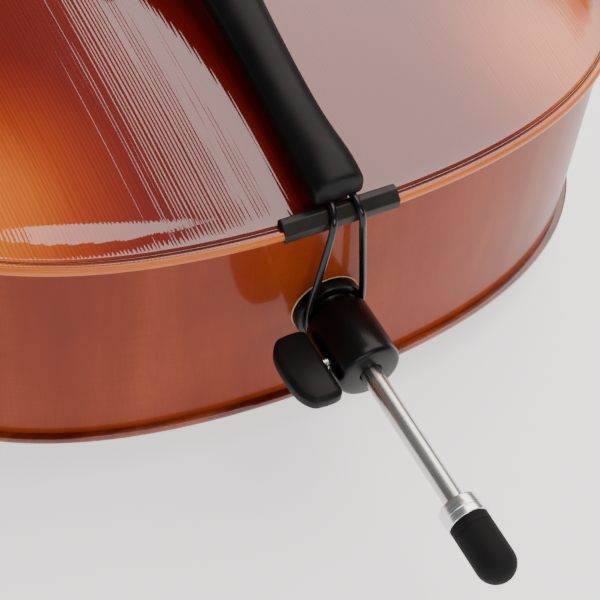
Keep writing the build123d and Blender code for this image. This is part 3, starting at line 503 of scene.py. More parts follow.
def brushed(name, tone, rough, stretch, depth=0.00001, spread=0.12):
    """Metal brushed or turned along one direction."""
    made, tree, shader = blank(name, Metallic=1.0)
    here = local(tree)
    streaks = noise(tree, here, 1.0, 5.0, stretch)
    clouds = noise(tree, here, 30.0, 3.0)
    colour = ramp(tree, times(tree, plus(tree, streaks, clouds), 0.5),
                  ((0.3, tuple(0.72 * c for c in tone)), (0.5, tone),
                   (0.7, tuple(min(1.15 * c, 1) for c in tone))))
    tree.links.new(colour, shader.inputs["Base Color"])
    tree.links.new(span(tree, streaks, 0.25, 0.75, rough - spread / 2, rough + spread),
                   shader.inputs["Roughness"])
    tree.links.new(bump(tree, streaks, depth, 0.8), shader.inputs["Normal"])
    return made


SPRUCE = spruce_varnish()
BACK_MAPLE = maple_varnish("maple_back", "Y", 62.0, 0.72, ((0.060, 0.0050, 0.0016), (0.150, 0.0150, 0.0032),
                                                           (0.300, 0.0480, 0.0060)))
RIB_MAPLE = maple_varnish("maple_ribs", "X", 26.0, 0.34, ((0.125, 0.0120, 0.0026), (0.220, 0.0270, 0.0050),
                                                          (0.320, 0.0520, 0.0095)), 0.26, 0.40)
NECK_MAPLE = maple_varnish("maple_neck", "Y", 70.0, 0.55, ((0.080, 0.0080, 0.0024), (0.180, 0.0240, 0.0048),
                                                           (0.320, 0.0600, 0.0100)))
EBONY = ebony()
SADDLE_EBONY = ebony("ebony_saddle", (0.0125, 0.0100, 0.0082), 0.42, (14, 900, 900))
RAW_WOOD = plain_wood("raw_wood", ((0.42, 0.27, 0.13), (0.56, 0.39, 0.21), (0.68, 0.50, 0.29)), (700, 16, 60))
BRIDGE_WOOD = plain_wood("bridge_maple", ((0.40, 0.22, 0.09), (0.58, 0.36, 0.17), (0.70, 0.47, 0.25)),
                         (24, 800, 700), 0.5, 0.00005, 0.15)
PURFLING_BLACK = plain_wood("purfling_black",
                            ((0.008, 0.006, 0.005), (0.016, 0.012, 0.010), (0.03, 0.022, 0.018)),
                            (300, 300, 300), 0.6, 0.00002, 0.0, 0.05)
PURFLING_PALE = plain_wood("purfling_pale", ((0.16, 0.040, 0.008), (0.24, 0.070, 0.012), (0.34, 0.11, 0.02)),
                           (300, 300, 300), 0.35, 0.00002, 0.7)
TAIL_PLASTIC = moulded("black_plastic", (0.0050, 0.0050, 0.0054), 0.44, 1700.0, 0.00002, wear=0.35,
                       shine=0.13)
COLLAR_PLASTIC = moulded("collar_plastic", (0.0030, 0.0030, 0.0033), 0.30, 1500.0, 0.00001, 0.06, 0.12, 0.3,
                         0.16)
WING_PLASTIC = moulded("wing_plastic", (0.0055, 0.0055, 0.0060), 0.5, 2600.0, 0.00006, wear=0.5, shine=0.16)
CORD_BLACK = moulded("cord", (0.0035, 0.0035, 0.0040), 0.24, 900.0, 0.00001, 0.2, 0.08, 0.2, 0.25)
RUBBER = moulded("rubber", (0.0080, 0.0080, 0.0085), 0.72, 1900.0, 0.00005, wear=0.8, shine=0.14)
ROD_STEEL = brushed("steel", (0.63, 0.61, 0.585), 0.24, (1600, 20, 1600))
SMALL_STEEL = brushed("steel_small", (0.66, 0.66, 0.65), 0.22, (900, 900, 900))
ALUMINIUM = brushed("aluminium", (0.86, 0.865, 0.87), 0.20, (30, 2600, 30))
STRING_STEEL = brushed("string_steel", (0.70, 0.69, 0.67), 0.24, (60, 4200, 60), 0.00003)
TUNER_BLACK = moulded("tuner_black", (0.012, 0.012, 0.013), 0.34, 1500.0, 0.00002, 0.3, 0.2, 0.3)


# ---------------------------------------------------------------- plates
DIP = 1.15
DIP_SPOT = 9.5
DIP_OUTER, DIP_INNER = 5.0, 9.5
RING_END = 8.4
PURFLING = (4.2, 5.6)
GROOVE = 0.4
BEAD = ((RING_END, 0.0), (4.0, 0.0), (1.1, 0.0), (0.5, 0.22), (0.13, 0.85), (0.0, 1.7), (0.0, 2.6),
        (0.13, 3.25),
        (0.42, 3.78), (0.9, 4.16), (1.5, 4.35), (2.2, 4.40), (2.9, 4.34), (3.6, 4.22))


def dip(inset):
    """The shallow channel inside the edge bead."""
    inset = np.asarray(inset, float)
    width = np.where(inset < DIP_SPOT, DIP_OUTER, DIP_INNER)
    return DIP * np.exp(-((inset - DIP_SPOT) / width)**2)


def inside_polygon(points, polygon):
    """Whether each point is inside the polygon."""
    x, y = points[:, 0][:, None], points[:, 1][:, None]
    ax, ay = polygon[:, 0], polygon[:, 1]
    bx, by = np.roll(ax, -1), np.roll(ay, -1)
    crosses = (ay > y) != (by > y)
    with np.errstate(divide="ignore", invalid="ignore"):
        hit = x < (bx - ax) * (y - ay) / (by - ay) + ax
    return (np.sum(crosses & hit, axis=1) % 2) == 1


F_POINTS = ((-50, 424), (-57, 428), (-60, 416), (-66, 372), (-80, 330), (-93, 286), (-97, 270), (-106, 270))
F_EYES = ((-49.5, 421.5, 7.0), (-106.5, 277.5, 9.0))


def f_hole_shapes():
    """The closed outlines whose union is the left f-hole."""
    line = smooth_path(F_POINTS, 14)
    heading = np.gradient(line, axis=0)
    heading = unit(heading)
    beside = np.stack((-heading[:, 1], heading[:, 0]), axis=1)
    share = np.linspace(0, 1, len(line))
    half = 2.5 + 1.5 * np.sin(math.pi * share)[:, None]
    shapes = [np.vstack((line + beside * half, (line - beside * half)[::-1]))]
    for x, y, radius in F_EYES:
        turn = np.linspace(0, 2 * math.pi, 40, endpoint=False)
        shapes.append(np.stack((x + radius * np.cos(turn), y + radius * np.sin(turn)), axis=1))
    centre, direction = np.array((-71.7, 355.0)), np.array((0.95, 0.30))
    up = np.array((-0.30, 0.95))
    for way in (-1, 1):
        tip = centre + way * direction * 6.8
        base = centre + way * direction * 2.0
        shapes.append(np.array((tip, base + up * 2.4, base - up * 2.4)))
    return shapes


AMBER_SPOTS = ((152.0, 62.0, 52.0, 62.0, 1.0), (60.0, 250.0, 45.0, 80.0, 0.35),
               (88.0, 400.0, 30.0, 60.0, 0.3),
               (112.0, 655.0, 45.0, 60.0, 0.8), (30.0, 600.0, 30.0, 70.0, 0.3))


def amber_share(points):
    """How far the red varnish has been rubbed back to amber at each point."""
    x, y = np.abs(points[:, 0]), points[:, 1]
    share = np.zeros(len(points))
    for across, along, half_across, half_along, depth in AMBER_SPOTS:
        share += depth * np.exp(-((x - across) / half_across)**2 - ((y - along) / half_along)**2)
    return np.clip(share, 0, 1)


def plate_mesh(name, base, way, arch, material, holes=()):
    """A carved plate: a rounded edge with its purfling groove and channel, and an arched middle."""
    rings, bead, rim = [], [], []
    profile = list(BEAD)
    for inset, extra in ((PURFLING[0], 0.0), (PURFLING[0], -GROOVE), (PURFLING[1], -GROOVE),
                         (PURFLING[1], 0.0),
                         (6.4, 0.0), (7.4, 0.0), (RING_END, 0.0)):
        profile.append((inset, PLATE - float(dip(inset)) + extra))
    for inset, rise in profile:
        line = full_outline(inset)
        height = base + way * (rise - PLATE + arch * arching(line[:, 0],
                                                             line[:, 1]) * (inset > EDGE_FLAT - 1))
        rings.append(np.column_stack((line, height)))
        bead.append(np.full(len(line), 1.0 if inset < 1.6 and rise > 0.5 else 0.0))
    count = len(rings[0])
    inner_line = full_outline(RING_END)
    columns, rows = np.arange(-216, 216.1, 4.0), np.arange(4, BODY_LENGTH, 4.0 * 0.866)
    grid = np.array([(x + (2.0 if number % 2 else 0.0), y) for number, y in enumerate(rows) for x in columns])
    grid = grid[inside_polygon(grid, inner_line)]
    grid = grid[edge_distance(grid[:, 0], grid[:, 1]) > RING_END + 2.2]
    clear = np.ones(len(grid), bool)
    for shape in holes:
        gap = np.min(np.hypot(grid[:, None, 0] - shape[None, :, 0], grid[:, None, 1] - shape[None, :, 1]),
                     axis=1)
        clear &= (gap > 1.4) & ~inside_polygon(grid, shape)
    grid = grid[clear]
    vertices = [Vector(p) for p in inner_line] + [Vector(p) for p in grid]
    edges = [(number, (number + 1) % count) for number in range(count)]
    for shape in holes:
        first = len(vertices)
        vertices += [Vector(p) for p in shape]
        edges += [(first + number, first + (number + 1) % len(shape)) for number in range(len(shape))]
    flat, _, triangles, _, _, _ = delaunay_2d_cdt(vertices, edges, [], 0, 1e-6)
    flat = np.array(flat, float)
    triangles = np.array([t for t in triangles if len(t) == 3], int)
    middle = flat[triangles].mean(axis=1)
    kept = inside_polygon(middle, inner_line)
    for shape in holes:
        kept &= ~inside_polygon(middle, shape)
    triangles = triangles[kept]
    used, fresh = np.unique(triangles, return_inverse=True)
    flat, triangles = flat[used], fresh.reshape(-1, 3)
    gap = np.hypot(flat[:, None, 0] - inner_line[None, :, 0], flat[:, None, 1] - inner_line[None, :, 1])
    nearest, on_ring = gap.argmin(axis=1), gap.min(axis=1) < 1e-3
    share = arching(flat[:, 0], flat[:, 1])
    far = edge_distance(flat[:, 0], flat[:, 1])
    outer = np.column_stack((flat, base + way * (arch * share - dip(far))))
    inner = np.column_stack((flat, base + way * (arch * share - PLATE)))
    points = np.vstack(rings + [outer, inner])
    ring_total = count * len(rings)
    outer_index = np.where(on_ring, (len(rings) - 1) * count + nearest, ring_total + np.arange(len(flat)))
    inner_index = np.where(on_ring, nearest, ring_total + len(flat) + np.arange(len(flat)))
    faces = grid_faces(len(rings), count, close_columns=True)
    faces += [tuple(outer_index[t]) for t in triangles]
    faces += [tuple(inner_index[t][::-1]) for t in triangles]
    seen = {}
    for triangle in triangles:
        for start, end in zip(triangle, np.roll(triangle, -1)):
            key = (min(start, end), max(start, end))
            seen[key] = None if key in seen else (start, end)
    for pair in seen.values():
        if pair is not None and not (on_ring[pair[0]] and on_ring[pair[1]]):
            start, end = pair
            faces.append((outer_index[end], outer_index[start], inner_index[start], inner_index[end]))
    all_used = np.unique(np.concatenate([np.array(f) for f in faces]))
    fresh_index = np.full(len(points), -1)
    fresh_index[all_used] = np.arange(len(all_used))
    faces = [tuple(fresh_index[list(f)]) for f in faces]
    bead_all = np.concatenate(bead + [0 * far, 0 * far])[all_used]
    piece = piece_from(name, points[all_used], faces, [material], angle=35)
    for attribute, values in (("amber", amber_share(points[all_used])), ("bead", bead_all)):
        layer = piece.data.attributes.new(attribute, "FLOAT", "POINT")
        layer.data.foreach_set("value", values.astype(np.float32))
    return piece


left_f = f_hole_shapes()
f_shapes = left_f + [shape * (-1, 1) for shape in left_f]
put(plate_mesh("top_plate_carved", BODY_DEPTH, 1, TOP_ARCH, SPRUCE, f_shapes), "body", "spruce_varnish",
    "top_plate")
put(plate_mesh("back_plate_carved", 0.0, -1, BACK_ARCH, BACK_MAPLE), "body", "maple_varnish", "back_plate")


# ---------------------------------------------------------------- purfling
def strip_ring(name, outside, inside, heights, materials):
    """A closed band let into a plate's edge."""
    outer, inner = full_outline(outside), full_outline(inside)
    low, high = heights
    loops = []
    for line, height in ((outer, low), (outer, high), (inner, high), (inner, low)):
        loops.append(np.column_stack((line, np.full(len(line), height))))
    faces = grid_faces(4, len(outer), close_rows=True, close_columns=True)
    return piece_from(name, np.vstack(loops), faces, materials, angle=40)


PURFLING_BANDS = ((4.2, 4.7, PURFLING_BLACK), (4.7, 5.1, PURFLING_PALE), (5.1, 5.6, PURFLING_BLACK))
for side_name, base, way in (("top", BODY_DEPTH, 1), ("back", 0.0, -1)):
    for number, (outside, inside, material) in enumerate(PURFLING_BANDS):
        crown = base - way * (float(dip((outside + inside) / 2)) + 0.03)
        band = strip_ring(f"{side_name}_purfling_band_{number + 1}", outside, inside,
                          (crown - way * 1.1, crown), [material])
        put(band, "body", "purfling", f"{side_name}_purfling")

# ---------------------------------------------------------------- the button of the back
BUTTON_CENTRE, BUTTON_RADIUS = BODY_LENGTH + 8.0, 14.0
button_profile = ((0.0, 0.02), (0.0, BUTTON_RADIUS - 1.1), (0.22, BUTTON_RADIUS - 0.5),
                  (0.85, BUTTON_RADIUS - 0.13), (1.7, BUTTON_RADIUS), (2.6, BUTTON_RADIUS),
                  (3.5, BUTTON_RADIUS - 0.25), (4.1, BUTTON_RADIUS - 0.8), (4.4, BUTTON_RADIUS - 1.6),
                  (4.4, 0.02))
put(turned("back_button", button_profile, (0, BUTTON_CENTRE, 0.0), (0, 0, 1), [BACK_MAPLE]), "body",
    "maple_varnish")

# ---------------------------------------------------------------- ribs
RIB_OUTSIDE, RIB_INSIDE = 4.0, 5.5
rib_outer, rib_corners = half_outline(RIB_OUTSIDE)
rib_inner, _ = half_outline(RIB_INSIDE)
rib_end = int(np.searchsorted(-rib_outer[rib_corners[1]:, 0], -11.0)) + rib_corners[1]
RIB_SPANS = {"lower": (0, rib_corners[0]), "c": rib_corners, "upper": (rib_corners[1], rib_end)}
RIB_LOW, RIB_HIGH = PLATE - 0.1, BODY_DEPTH - PLATE + 0.1
for zone, (first, last) in RIB_SPANS.items():
    for side_name, side in (("bass", -1), ("treble", 1)):
        sections = []
        for outer, inner in zip(rib_outer[first:last + 1], rib_inner[first:last + 1]):
            sections.append([(side * outer[0], outer[1], z) for z in np.linspace(RIB_LOW, RIB_HIGH, 9)]
                            + [(side * inner[0], inner[1], z) for z in (RIB_HIGH, RIB_LOW)])
        put(lofted(f"{zone}_rib_strip_{side_name}", sections, [RIB_MAPLE], 30), "body", "maple_varnish",
            f"{zone}_rib_{side_name}")

# ---------------------------------------------------------------- saddle
SADDLE_HALF, SADDLE_BEVEL = 29.3, 0.7
SADDLE_PROFILE = ((4.0, 122.6), (9.0, 122.6), (9.0, 129.4), (7.6, 131.0), (4.4, 131.0), (-0.15, 127.3),
                  (-0.15, 122.6), (4.0, 122.6))
saddle_outline = np.array(rounded(SADDLE_PROFILE, 0.6, 5)[:-1])
sections = []
for x in np.concatenate((np.linspace(-SADDLE_HALF, -SADDLE_HALF + SADDLE_BEVEL, 6),
                         np.linspace(-SADDLE_HALF + 5, SADDLE_HALF - 5, 12),
                         np.linspace(SADDLE_HALF - SADDLE_BEVEL, SADDLE_HALF, 6))):
    left_over = min(SADDLE_HALF - abs(x), SADDLE_BEVEL) / SADDLE_BEVEL
    settle = 1.0 - math.sqrt(max(1 - (1 - left_over)**2, 0))
    loop = []
    for y, z in saddle_outline:
        low = max(z - 124.5, 0)
        loop.append((x, y + (0.35 * settle if y < 4 else -0.35 * settle) * (z > 123),
                     z - 0.06 * settle * low))
    sections.append(loop)
put(lofted("saddle_block", sections, [SADDLE_EBONY], 40), "body", "ebony", "saddle")

# ---------------------------------------------------------------- tailpiece
TAIL_FRONT, TAIL_BACK = 6.5, 237.0
TAIL_SECTIONS = ((6.5, 13.0, 132.6, 146.6), (16, 13.4, 133.2, 149.2), (45, 12.0, 138.2, 152.2),
                 (85, 11.9, 146.4, 160.4), (135, 14.3, 157.6, 173.2), (185, 21.5, 171.0, 187.0),
                 (225, 29.5, 181.0, 197.4), (237, 31.0, 184.2, 199.4))


def tail_section(y, half, low, crown, squeeze, pinch):
    """One closed loop: a flat underside, rounded sides and a broad ridge."""
    middle_z = (low + crown) / 2
    shoulder = low + 0.42 * (crown - low)
    loop = []
    for turn in np.linspace(0, 2 * math.pi, 64, endpoint=False):
        side, up = math.cos(turn), math.sin(turn)
        if up >= 0:
            x = half * math.copysign(abs(side)**0.86, side)
            z = shoulder + (crown - shoulder) * abs(up)**0.98
        else:
            x = half * math.copysign(abs(side)**0.30, side)
            z = shoulder + (low - shoulder) * abs(up)**0.42
        loop.append((x * squeeze, y, middle_z + (z - middle_z) * pinch))
    return loop


tail_table = np.array(TAIL_SECTIONS)
stations = np.concatenate((np.linspace(TAIL_FRONT, 12, 12), np.linspace(14, 233, 60),
                           np.linspace(234, TAIL_BACK, 6)))
tangents = np.gradient(tail_table[:, 1:], tail_table[:, 0], axis=0)


def tail_at(y):
    """Half width, underside and crown at a station, by smooth interpolation."""
    number = int(np.clip(np.searchsorted(tail_table[:, 0], y) - 1, 0, len(tail_table) - 2))
    start, end = tail_table[number], tail_table[number + 1]
    reach = end[0] - start[0]
    t = (y - start[0]) / reach
    return ((2 * t**3 - 3 * t**2 + 1) * start[1:] + (t**3 - 2 * t**2 + t) * reach * tangents[number]
            + (3 * t**2 - 2 * t**3) * end[1:] + (t**3 - t**2) * reach * tangents[number + 1])


tail_sections = []
for y in stations:
    near = min(y - TAIL_FRONT, TAIL_BACK - y)
    squeeze = 1.0 - 0.17 * (1 - math.sqrt(1 - max(0.0, 1 - near / 4.0)**2))
    pinch = 1.0 - 0.22 * (1 - math.sqrt(1 - max(0.0, 1 - near / 2.6)**2))
    tail_sections.append(tail_section(y, *tail_at(y), squeeze, pinch))
tail_body = lofted("tailpiece_shell", tail_sections, [TAIL_PLASTIC], 50)

TAIL_TILT = math.radians(12.0)
TAIL_END = np.array((0.0, 237.0, 191.0))
TAIL_ALONG = np.array((0.0, math.cos(TAIL_TILT), math.sin(TAIL_TILT)))
TAIL_UP = np.array((0.0, -math.sin(TAIL_TILT), math.cos(TAIL_TILT)))
STRING_NAMES = ("c", "g", "d", "a")
TAIL_SPACING = 15.6


def tail_spot(along, above, across=0.0):
    return TAIL_END + TAIL_ALONG * along + TAIL_UP * above + np.array((across, 0.0, 0.0))


def cut_boxes(piece, boxes):
    """Cuts each box, given as eight corners in body-frame millimetres, out of the piece."""
    for corners in boxes:
        faces = ((0, 1, 2, 3), (4, 5, 6, 7), (0, 1, 5, 4), (1, 2, 6, 5), (2, 3, 7, 6), (3, 0, 4, 7))
        cutter = piece_from("cutter", corners, faces, [], angle=30)
        boolean = piece.modifiers.new("cut", "BOOLEAN")
        boolean.operation = "DIFFERENCE"
        boolean.solver = "EXACT"
        boolean.object = cutter
        bpy.context.view_layer.update()
        graph = bpy.context.evaluated_depsgraph_get()
        cut = bpy.data.meshes.new_from_object(piece.evaluated_get(graph))
        piece.modifiers.clear()
        piece.data = cut
        bpy.data.objects.remove(cutter)
    mark_edges(piece.data, 50)


slots = []
for name in STRING_NAMES:
    across = (STRING_NAMES.index(name) - 1.5) * TAIL_SPACING
    slots.append([tail_spot(along, above, across + side) for side in (-2.5, 2.5)
                  for along, above in ((-21.5, -30), (-2.5, -30), (-2.5, 30), (-21.5, 30))])
cut_boxes(tail_body, slots)
put(tail_body, "body", "black_plastic", "tailpiece")

# ---------------------------------------------------------------- tail cord
CORD_RADIUS = 1.75
PIN_HEIGHT = BODY_DEPTH / 2
LOOP_CORNER = 15.65 / math.cos(math.radians(32.5))
cord_points = [(-4.4, 32, 139.0), (-4.4, 15, 135.4), (-4.4, 8.0, 133.2), (-4.7, 3.6, 132.5),
               (-5.8, -0.9, 129.4),
               (-6.6, -2.6, 125.0), (-7.2, -2.9, 119.0)]
cord_points += [(LOOP_CORNER * math.cos(math.radians(t)), -5.0,
                 PIN_HEIGHT + LOOP_CORNER * math.sin(math.radians(t)))
                for t in (-155, -90, -25)]
cord_points += [(9.0, -2.9, 119.0), (8.6, -2.6, 125.0), (8.1, -0.9, 129.4), (7.4, 3.6, 132.5),
                (7.2, 8.0, 133.2),
                (7.2, 15, 135.4), (7.2, 32, 139.0)]


def nurbs_line(points, resolution=14):
    """Points along the smooth spline that the control points give."""
    curve = bpy.data.curves.new("route", "CURVE")
    curve.dimensions = "3D"
    spline = curve.splines.new("NURBS")
    spline.points.add(len(points) - 1)
    for target, point in zip(spline.points, points):
        target.co = (*point, 1.0)
    spline.order_u = 3
    spline.use_endpoint_u = True
    spline.resolution_u = resolution
    carrier = bpy.data.objects.new("route", curve)
    bpy.context.scene.collection.objects.link(carrier)
    bpy.context.view_layer.update()
    mesh = bpy.data.meshes.new_from_object(carrier.evaluated_get(bpy.context.evaluated_depsgraph_get()))
    line = np.array([v.co for v in mesh.vertices])
    bpy.data.objects.remove(carrier)
    return line


put(tube("tail_cord_line", nurbs_line(cord_points), CORD_RADIUS, [CORD_BLACK], 28), "body", "cord",
    "tail_cord")

# ---------------------------------------------------------------- endpin
AXIS = (0.0, 0.0, PIN_HEIGHT)
ALONG = (0.0, 1.0, 0.0)
COLLAR_PROFILE = ((-40.6, 5.15), (-41.4, 5.9), (-41.4, 13.6), (-40.9, 14.9), (-40.0, 15.75), (-38.7, 16.2),
                  (-37.0, 16.3), (-8.3, 16.3), (-7.6, 16.1), (-7.2, 15.5), (-6.9, 13.4), (-6.2, 13.1),
                  (-3.3, 13.1), (-2.6, 13.5), (-2.3, 16.4), (-1.9, 17.2), (-1.2, 17.55), (3.2, 17.6),
                  (4.2, 17.6),
                  (4.2, 12.5), (46.0, 11.9), (46.0, 5.15))
put(turned("endpin_collar_body", COLLAR_PROFILE, AXIS, ALONG, [COLLAR_PLASTIC], 128, 32, closed=True), "body",
    "collar_plastic", "endpin_collar")
put(turned("collar_seat_line", ((3.75, 17.3), (3.75, 17.85), (4.3, 18.0), (4.3, 17.3)), AXIS, ALONG,
           [RAW_WOOD], 96,
           30, closed=True), "body", "raw_wood")

ROD_END, ROD_RADIUS, ROD_LENGTH = -128.4, 5.0, 480.0
put(turned("endpin_rod_bar",
           ((ROD_END - 14, 0.02), (ROD_END - 14, 0.6), (ROD_END - 0.6, 4.7), (ROD_END, ROD_RADIUS),
                              (ROD_END + 1.0, ROD_RADIUS), (ROD_END + ROD_LENGTH - 1, ROD_RADIUS),
                              (ROD_END + ROD_LENGTH - 0.3, 4.7), (ROD_END + ROD_LENGTH, 4.0),
                              (ROD_END + ROD_LENGTH, 0.02)), AXIS, ALONG, [ROD_STEEL], 64, 25), "endpin",
                              "steel",
    "endpin_rod")
put(turned("tip_ferrule_ring", ((-130.4, 5.1), (-130.4, 9.7), (-130.1, 10.05), (-129.6, 10.2), (-127.0, 10.2),
                                (-126.8, 10.0), (-126.5, 10.0), (-126.3, 10.2), (-121.5, 10.2),
                                (-120.9, 10.0),
                                (-120.5, 9.5), (-120.5, 6.3), (-120.9, 5.7), (-121.2, 5.1)), AXIS, ALONG,
           [ALUMINIUM], 96, 25, closed=True), "endpin_tip", "aluminium", "tip_ferrule")
dome = [(-152.4 - 9.5 * math.sin(t), max(9.5 * math.cos(t), 0.02)) for t in np.linspace(0, math.pi / 2, 18)]
rubber_profile = [(-130.35, 5.1), (-130.35, 9.2), (-130.8, 9.5), (-134.6, 9.5), (-134.9, 9.2),
                  (-135.5, 9.2), (-135.8, 9.5)] + dome + [(-143.4, 0.02), (-143.4, 0.9)]
put(turned("rubber_tip_ball", rubber_profile, AXIS, ALONG, [RUBBER], 80, 30), "endpin_tip", "rubber",
    "rubber_tip")

# ---------------------------------------------------------------- clamp screw
CLAMP_STATION = -28.0
thread = [(5.3, 0.02), (5.3, 2.2), (6.0, 2.9)]
for number in range(20):
    thread += [(6.0 + number, 2.98), (6.3 + number, 2.98), (6.55 + number, 2.6), (6.75 + number, 2.6)]
thread += [(26.4, 2.98), (27.0, 2.6), (27.3, 2.0), (27.3, 0.02)]
put(turned("clamp_bolt_thread", thread, (0.0, CLAMP_STATION, PIN_HEIGHT), (-1.0, 0.0, 0.0), [SMALL_STEEL],
           40, 25),
    "clamp_bolt", "steel", "clamp_bolt")

WING_THICK = 8.6
WING_BEVEL = 2.6
outer_side = smooth_path(((-26.8, -49.0), (-33.0, -47.6), (-37.6, -40.5), (-38.7, -28.3), (-37.6, -16.1),
                          (-33.0, -9.0), (-26.8, -7.6)), 9)
wing_outline = np.vstack((smooth_path(((-17.8, -45.4), (-18.6, -47.6), (-21.4, -48.8), (-26.8, -49.0)),
                                      4)[:-1],
                          outer_side,
                          smooth_path(((-26.8, -7.6), (-21.4, -7.8), (-18.6, -9.0), (-17.8, -11.2)),
                                                  4)[1:]))
wing_centre = np.array((-28.0, -28.3))


def wing_level(z, inset):
    """The wing's outline at one height, drawn in by inset."""
    heading = np.roll(wing_outline, -1, axis=0) - np.roll(wing_outline, 1, axis=0)
    heading = unit(heading)
    inwards = np.stack((-heading[:, 1], heading[:, 0]), axis=1)
    if np.mean(np.sum(inwards * (wing_centre - wing_outline), axis=1)) < 0:
        inwards = -inwards
    line = wing_outline + inwards * inset
    return np.column_stack((line, np.full(len(line), PIN_HEIGHT + z)))


half_wing = WING_THICK / 2
wing_levels = []
for share in np.linspace(0, 1, 6):
    wing_levels.append((-half_wing + WING_BEVEL * share, WING_BEVEL * (1 - math.sin(share * math.pi / 2))))
wing_levels += [(half_wing - WING_BEVEL * (1 - share), WING_BEVEL * (1 - math.cos(share * math.pi / 2)))
                for share in np.linspace(0, 1, 6)]
put(lofted("clamp_wing_paddle", [wing_level(z, inset) for z, inset in wing_levels], [WING_PLASTIC], 55),
    "clamp_wing", "black_plastic", "clamp_wing")

# ---------------------------------------------------------------- strings
PEGBOX_TILT = math.radians(20.0)
PEGBOX_START = np.array((0.0, 1044.0, 100.0))
PEGBOX_ALONG = np.array((0.0, math.cos(PEGBOX_TILT), -math.sin(PEGBOX_TILT)))
PEGBOX_UP = np.array((0.0, math.sin(PEGBOX_TILT), math.cos(PEGBOX_TILT)))
PEG_STATIONS = {"c": 24.0, "a": 46.0, "g": 69.0, "d": 91.0}
PEG_DEPTH, PEG_COLLAR_RADIUS = 13.0, 6.8
WOUND_ACROSS = {"c": -6.3, "g": -2.4, "d": 2.4, "a": 6.3}
STRING_RADII = {"c": 0.95, "g": 0.75, "d": 0.6, "a": 0.45}
BRIDGE_STATION, BRIDGE_TOP, BRIDGE_RADIUS, BRIDGE_SPACING = 355.0, 241.0, 60.0, 15.7
NUT_STATION, NUT_TOP, NUT_RADIUS, NUT_SPACING = 1035.0, 110.2, 55.0, 7.4


def pegbox_spot(along, above, across=0.0):
    return PEGBOX_START + PEGBOX_ALONG * along + PEGBOX_UP * above + np.array((across, 0.0, 0.0))


def on_arc(height, radius, x):
    return height - radius + math.sqrt(radius**2 - x**2)


SILK = moulded("string_silk", (0.20, 0.014, 0.018), 0.55, 2400.0, 0.00004, wear=0.2)
for name in STRING_NAMES:
    share = STRING_NAMES.index(name) - 1.5
    radius = STRING_RADII[name]
    ball = tail_spot(-17.4, 11.6, share * TAIL_SPACING)
    x = share * BRIDGE_SPACING
    over_bridge = np.array((x, BRIDGE_STATION, on_arc(BRIDGE_TOP, BRIDGE_RADIUS, x) + radius + 0.2))
    x = share * NUT_SPACING
    over_nut = np.array((x, NUT_STATION + 3.4, on_arc(NUT_TOP, NUT_RADIUS, x) + radius + 0.4))
    centre = pegbox_spot(PEG_STATIONS[name], -PEG_DEPTH)
    lift = PEG_COLLAR_RADIUS + 3 * radius + 0.15
    reach = centre[1:] - over_nut[1:]
    heading = math.atan2(reach[1], reach[0]) + math.asin(lift / math.hypot(*reach))
    end = centre + (WOUND_ACROSS[name], -lift * math.sin(heading), lift * math.cos(heading))
    line = []
    route = [ball, over_bridge, over_nut, end]
    for number, (start, finish) in enumerate(zip(route, route[1:])):
        steps = np.linspace(0, 1, max(int(np.linalg.norm(finish - start) / 12), 3), endpoint=number == 2)
        line += [start + (finish - start) * step for step in steps]
    line = np.array(line)
    put(tube(f"string_{name}_wound", line, radius, [STRING_STEEL], 14), "body", "string_steel",
        f"string_{name}")
    silk_end = ball + (over_bridge - ball) * 0.62
    put(tube(f"string_{name}_silk_tail", np.linspace(ball + (over_bridge - ball) * 0.03, silk_end, 12),
             radius + 0.14,
             [SILK], 14), "body", "string_steel")
    silk_start = over_nut + (over_bridge - over_nut) * 0.012
    put(tube(f"string_{name}_silk_peg", np.vstack((np.linspace(silk_start, over_nut, 4)[:-1],
                                                    np.linspace(over_nut, end, 10))), radius + 0.12, [SILK],
                                                    14),
        "body", "string_steel")
    put(turned(f"string_{name}_ball",
               ((-1.7, 0.7), (-1.7, 1.7), (-1.3, 2.2), (-0.7, 2.3), (0.7, 2.3), (1.3, 2.2),
                                       (1.7, 1.7), (1.7, 0.7)), ball, (1.0, 0.0, 0.0), [ALUMINIUM], 36, 30,
               closed=True), "body", "string_steel")

# ---------------------------------------------------------------- finishes of the CAD pieces that show
CAD_FINISHES = {
    "neck": NECK_MAPLE, "fingerboard": EBONY, "nut": EBONY, "bridge": BRIDGE_WOOD,
    "lever_pivot_pin": SMALL_STEEL,
    "top_linings": RAW_WOOD, "back_linings": RAW_WOOD, "neck_block": RAW_WOOD, "end_block": RAW_WOOD,
    "corner_blocks": RAW_WOOD, "bass_bar": RAW_WOOD, "sound_post": RAW_WOOD,
}
for name in STRING_NAMES:
    CAD_FINISHES[f"peg_{name}"] = EBONY
    CAD_FINISHES[f"peg_winding_{name}"] = SILK
    CAD_FINISHES[f"tuner_shank_{name}"] = SMALL_STEEL
    CAD_FINISHES[f"tuner_head_{name}"] = TUNER_BLACK
    CAD_FINISHES[f"tuner_lever_{name}"] = TUNER_BLACK
for name, material in CAD_FINISHES.items():
    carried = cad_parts[name]
    carried.data.materials.clear()
    carried.data.materials.append(material)

# ---------------------------------------------------------------- floor, light and camera
FLOOR, _, floor_shader = blank("floor_paper", Roughness=0.9)
floor_shader.inputs["Base Color"].default_value = (0.88, 0.88, 0.88, 1.0)
floor_shader.inputs["Emission Color"].default_value = (1.0, 1.0, 1.0, 1.0)
floor_shader.inputs["Emission Strength"].default_value = 1.0
floor_mesh = bpy.data.meshes.new("floor")
floor_mesh.from_pydata([(-9, -9, -0.0005), (9, -9, -0.0005), (9, 9, -0.0005), (-9, 9, -0.0005)], [],
                       [(0, 1, 2, 3)])
floor_mesh.materials.append(FLOOR)
floor = bpy.data.objects.new("floor", floor_mesh)
bpy.context.scene.collection.objects.link(floor)

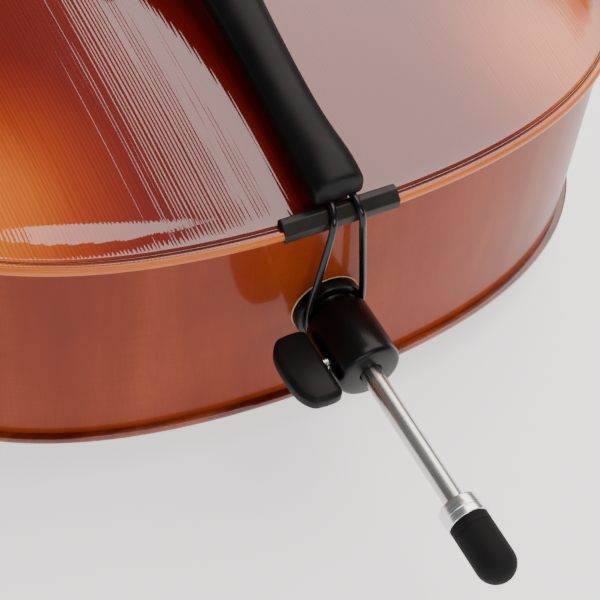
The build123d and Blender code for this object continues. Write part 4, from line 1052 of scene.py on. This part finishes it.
world = bpy.data.worlds.new("studio")
world.use_nodes = True
world.node_tree.nodes["Background"].inputs["Color"].default_value = (0.93, 0.94, 0.96, 1.0)
world.node_tree.nodes["Background"].inputs["Strength"].default_value = 0.22
bpy.context.scene.world = world


def softbox(name, place, target, size, power, colour=(1.0, 1.0, 1.0)):
    lamp = bpy.data.lights.new(name, "AREA")
    lamp.shape = "RECTANGLE"
    lamp.size, lamp.size_y = size
    lamp.energy = power
    lamp.color = colour
    carrier = bpy.data.objects.new(name, lamp)
    bpy.context.scene.collection.objects.link(carrier)
    carrier.location = place
    carrier.rotation_euler = (Vector(target) - Vector(place)).to_track_quat("-Z", "Y").to_euler()
    return carrier


SOFT_TINT = (1.0, 0.89, 0.85)
softbox("key", (1.20, 0.25, 1.5), (1.20, 0.25, 0.0), (1.56, 2.15), 54.0, SOFT_TINT)
softbox("side", (0.17, -0.61, 1.5), (0.17, -0.61, 0.0), (0.50, 1.1), 9.5, SOFT_TINT)
softbox("front", (-0.3, -2.4, 1.1), (0.0, -0.5, 0.08), (1.6, 0.8), 20.0)

LENS = 107.06
CAMERA_PLACE = (-0.31467, -0.97097, 0.73245)
AZIMUTH, ELEVATION, ROLL = (math.radians(v) for v in (-33.75, 49.60, 8.41))
outward = Vector((math.sin(AZIMUTH) * math.cos(ELEVATION), -math.cos(AZIMUTH) * math.cos(ELEVATION),
                  math.sin(ELEVATION)))
level_right = Vector((math.cos(AZIMUTH), math.sin(AZIMUTH), 0.0))
level_up = level_right.cross(-outward)
right = math.cos(ROLL) * level_right + math.sin(ROLL) * level_up
up = -math.sin(ROLL) * level_right + math.cos(ROLL) * level_up
camera_data = bpy.data.cameras.new("camera")
camera_data.lens = LENS
camera_data.sensor_width = 36.0
camera = bpy.data.objects.new("camera", camera_data)
bpy.context.scene.collection.objects.link(camera)
turn_matrix = Matrix((right, up, outward)).transposed().to_4x4()
camera.matrix_world = Matrix.Translation(CAMERA_PLACE) @ turn_matrix
bpy.context.scene.camera = camera
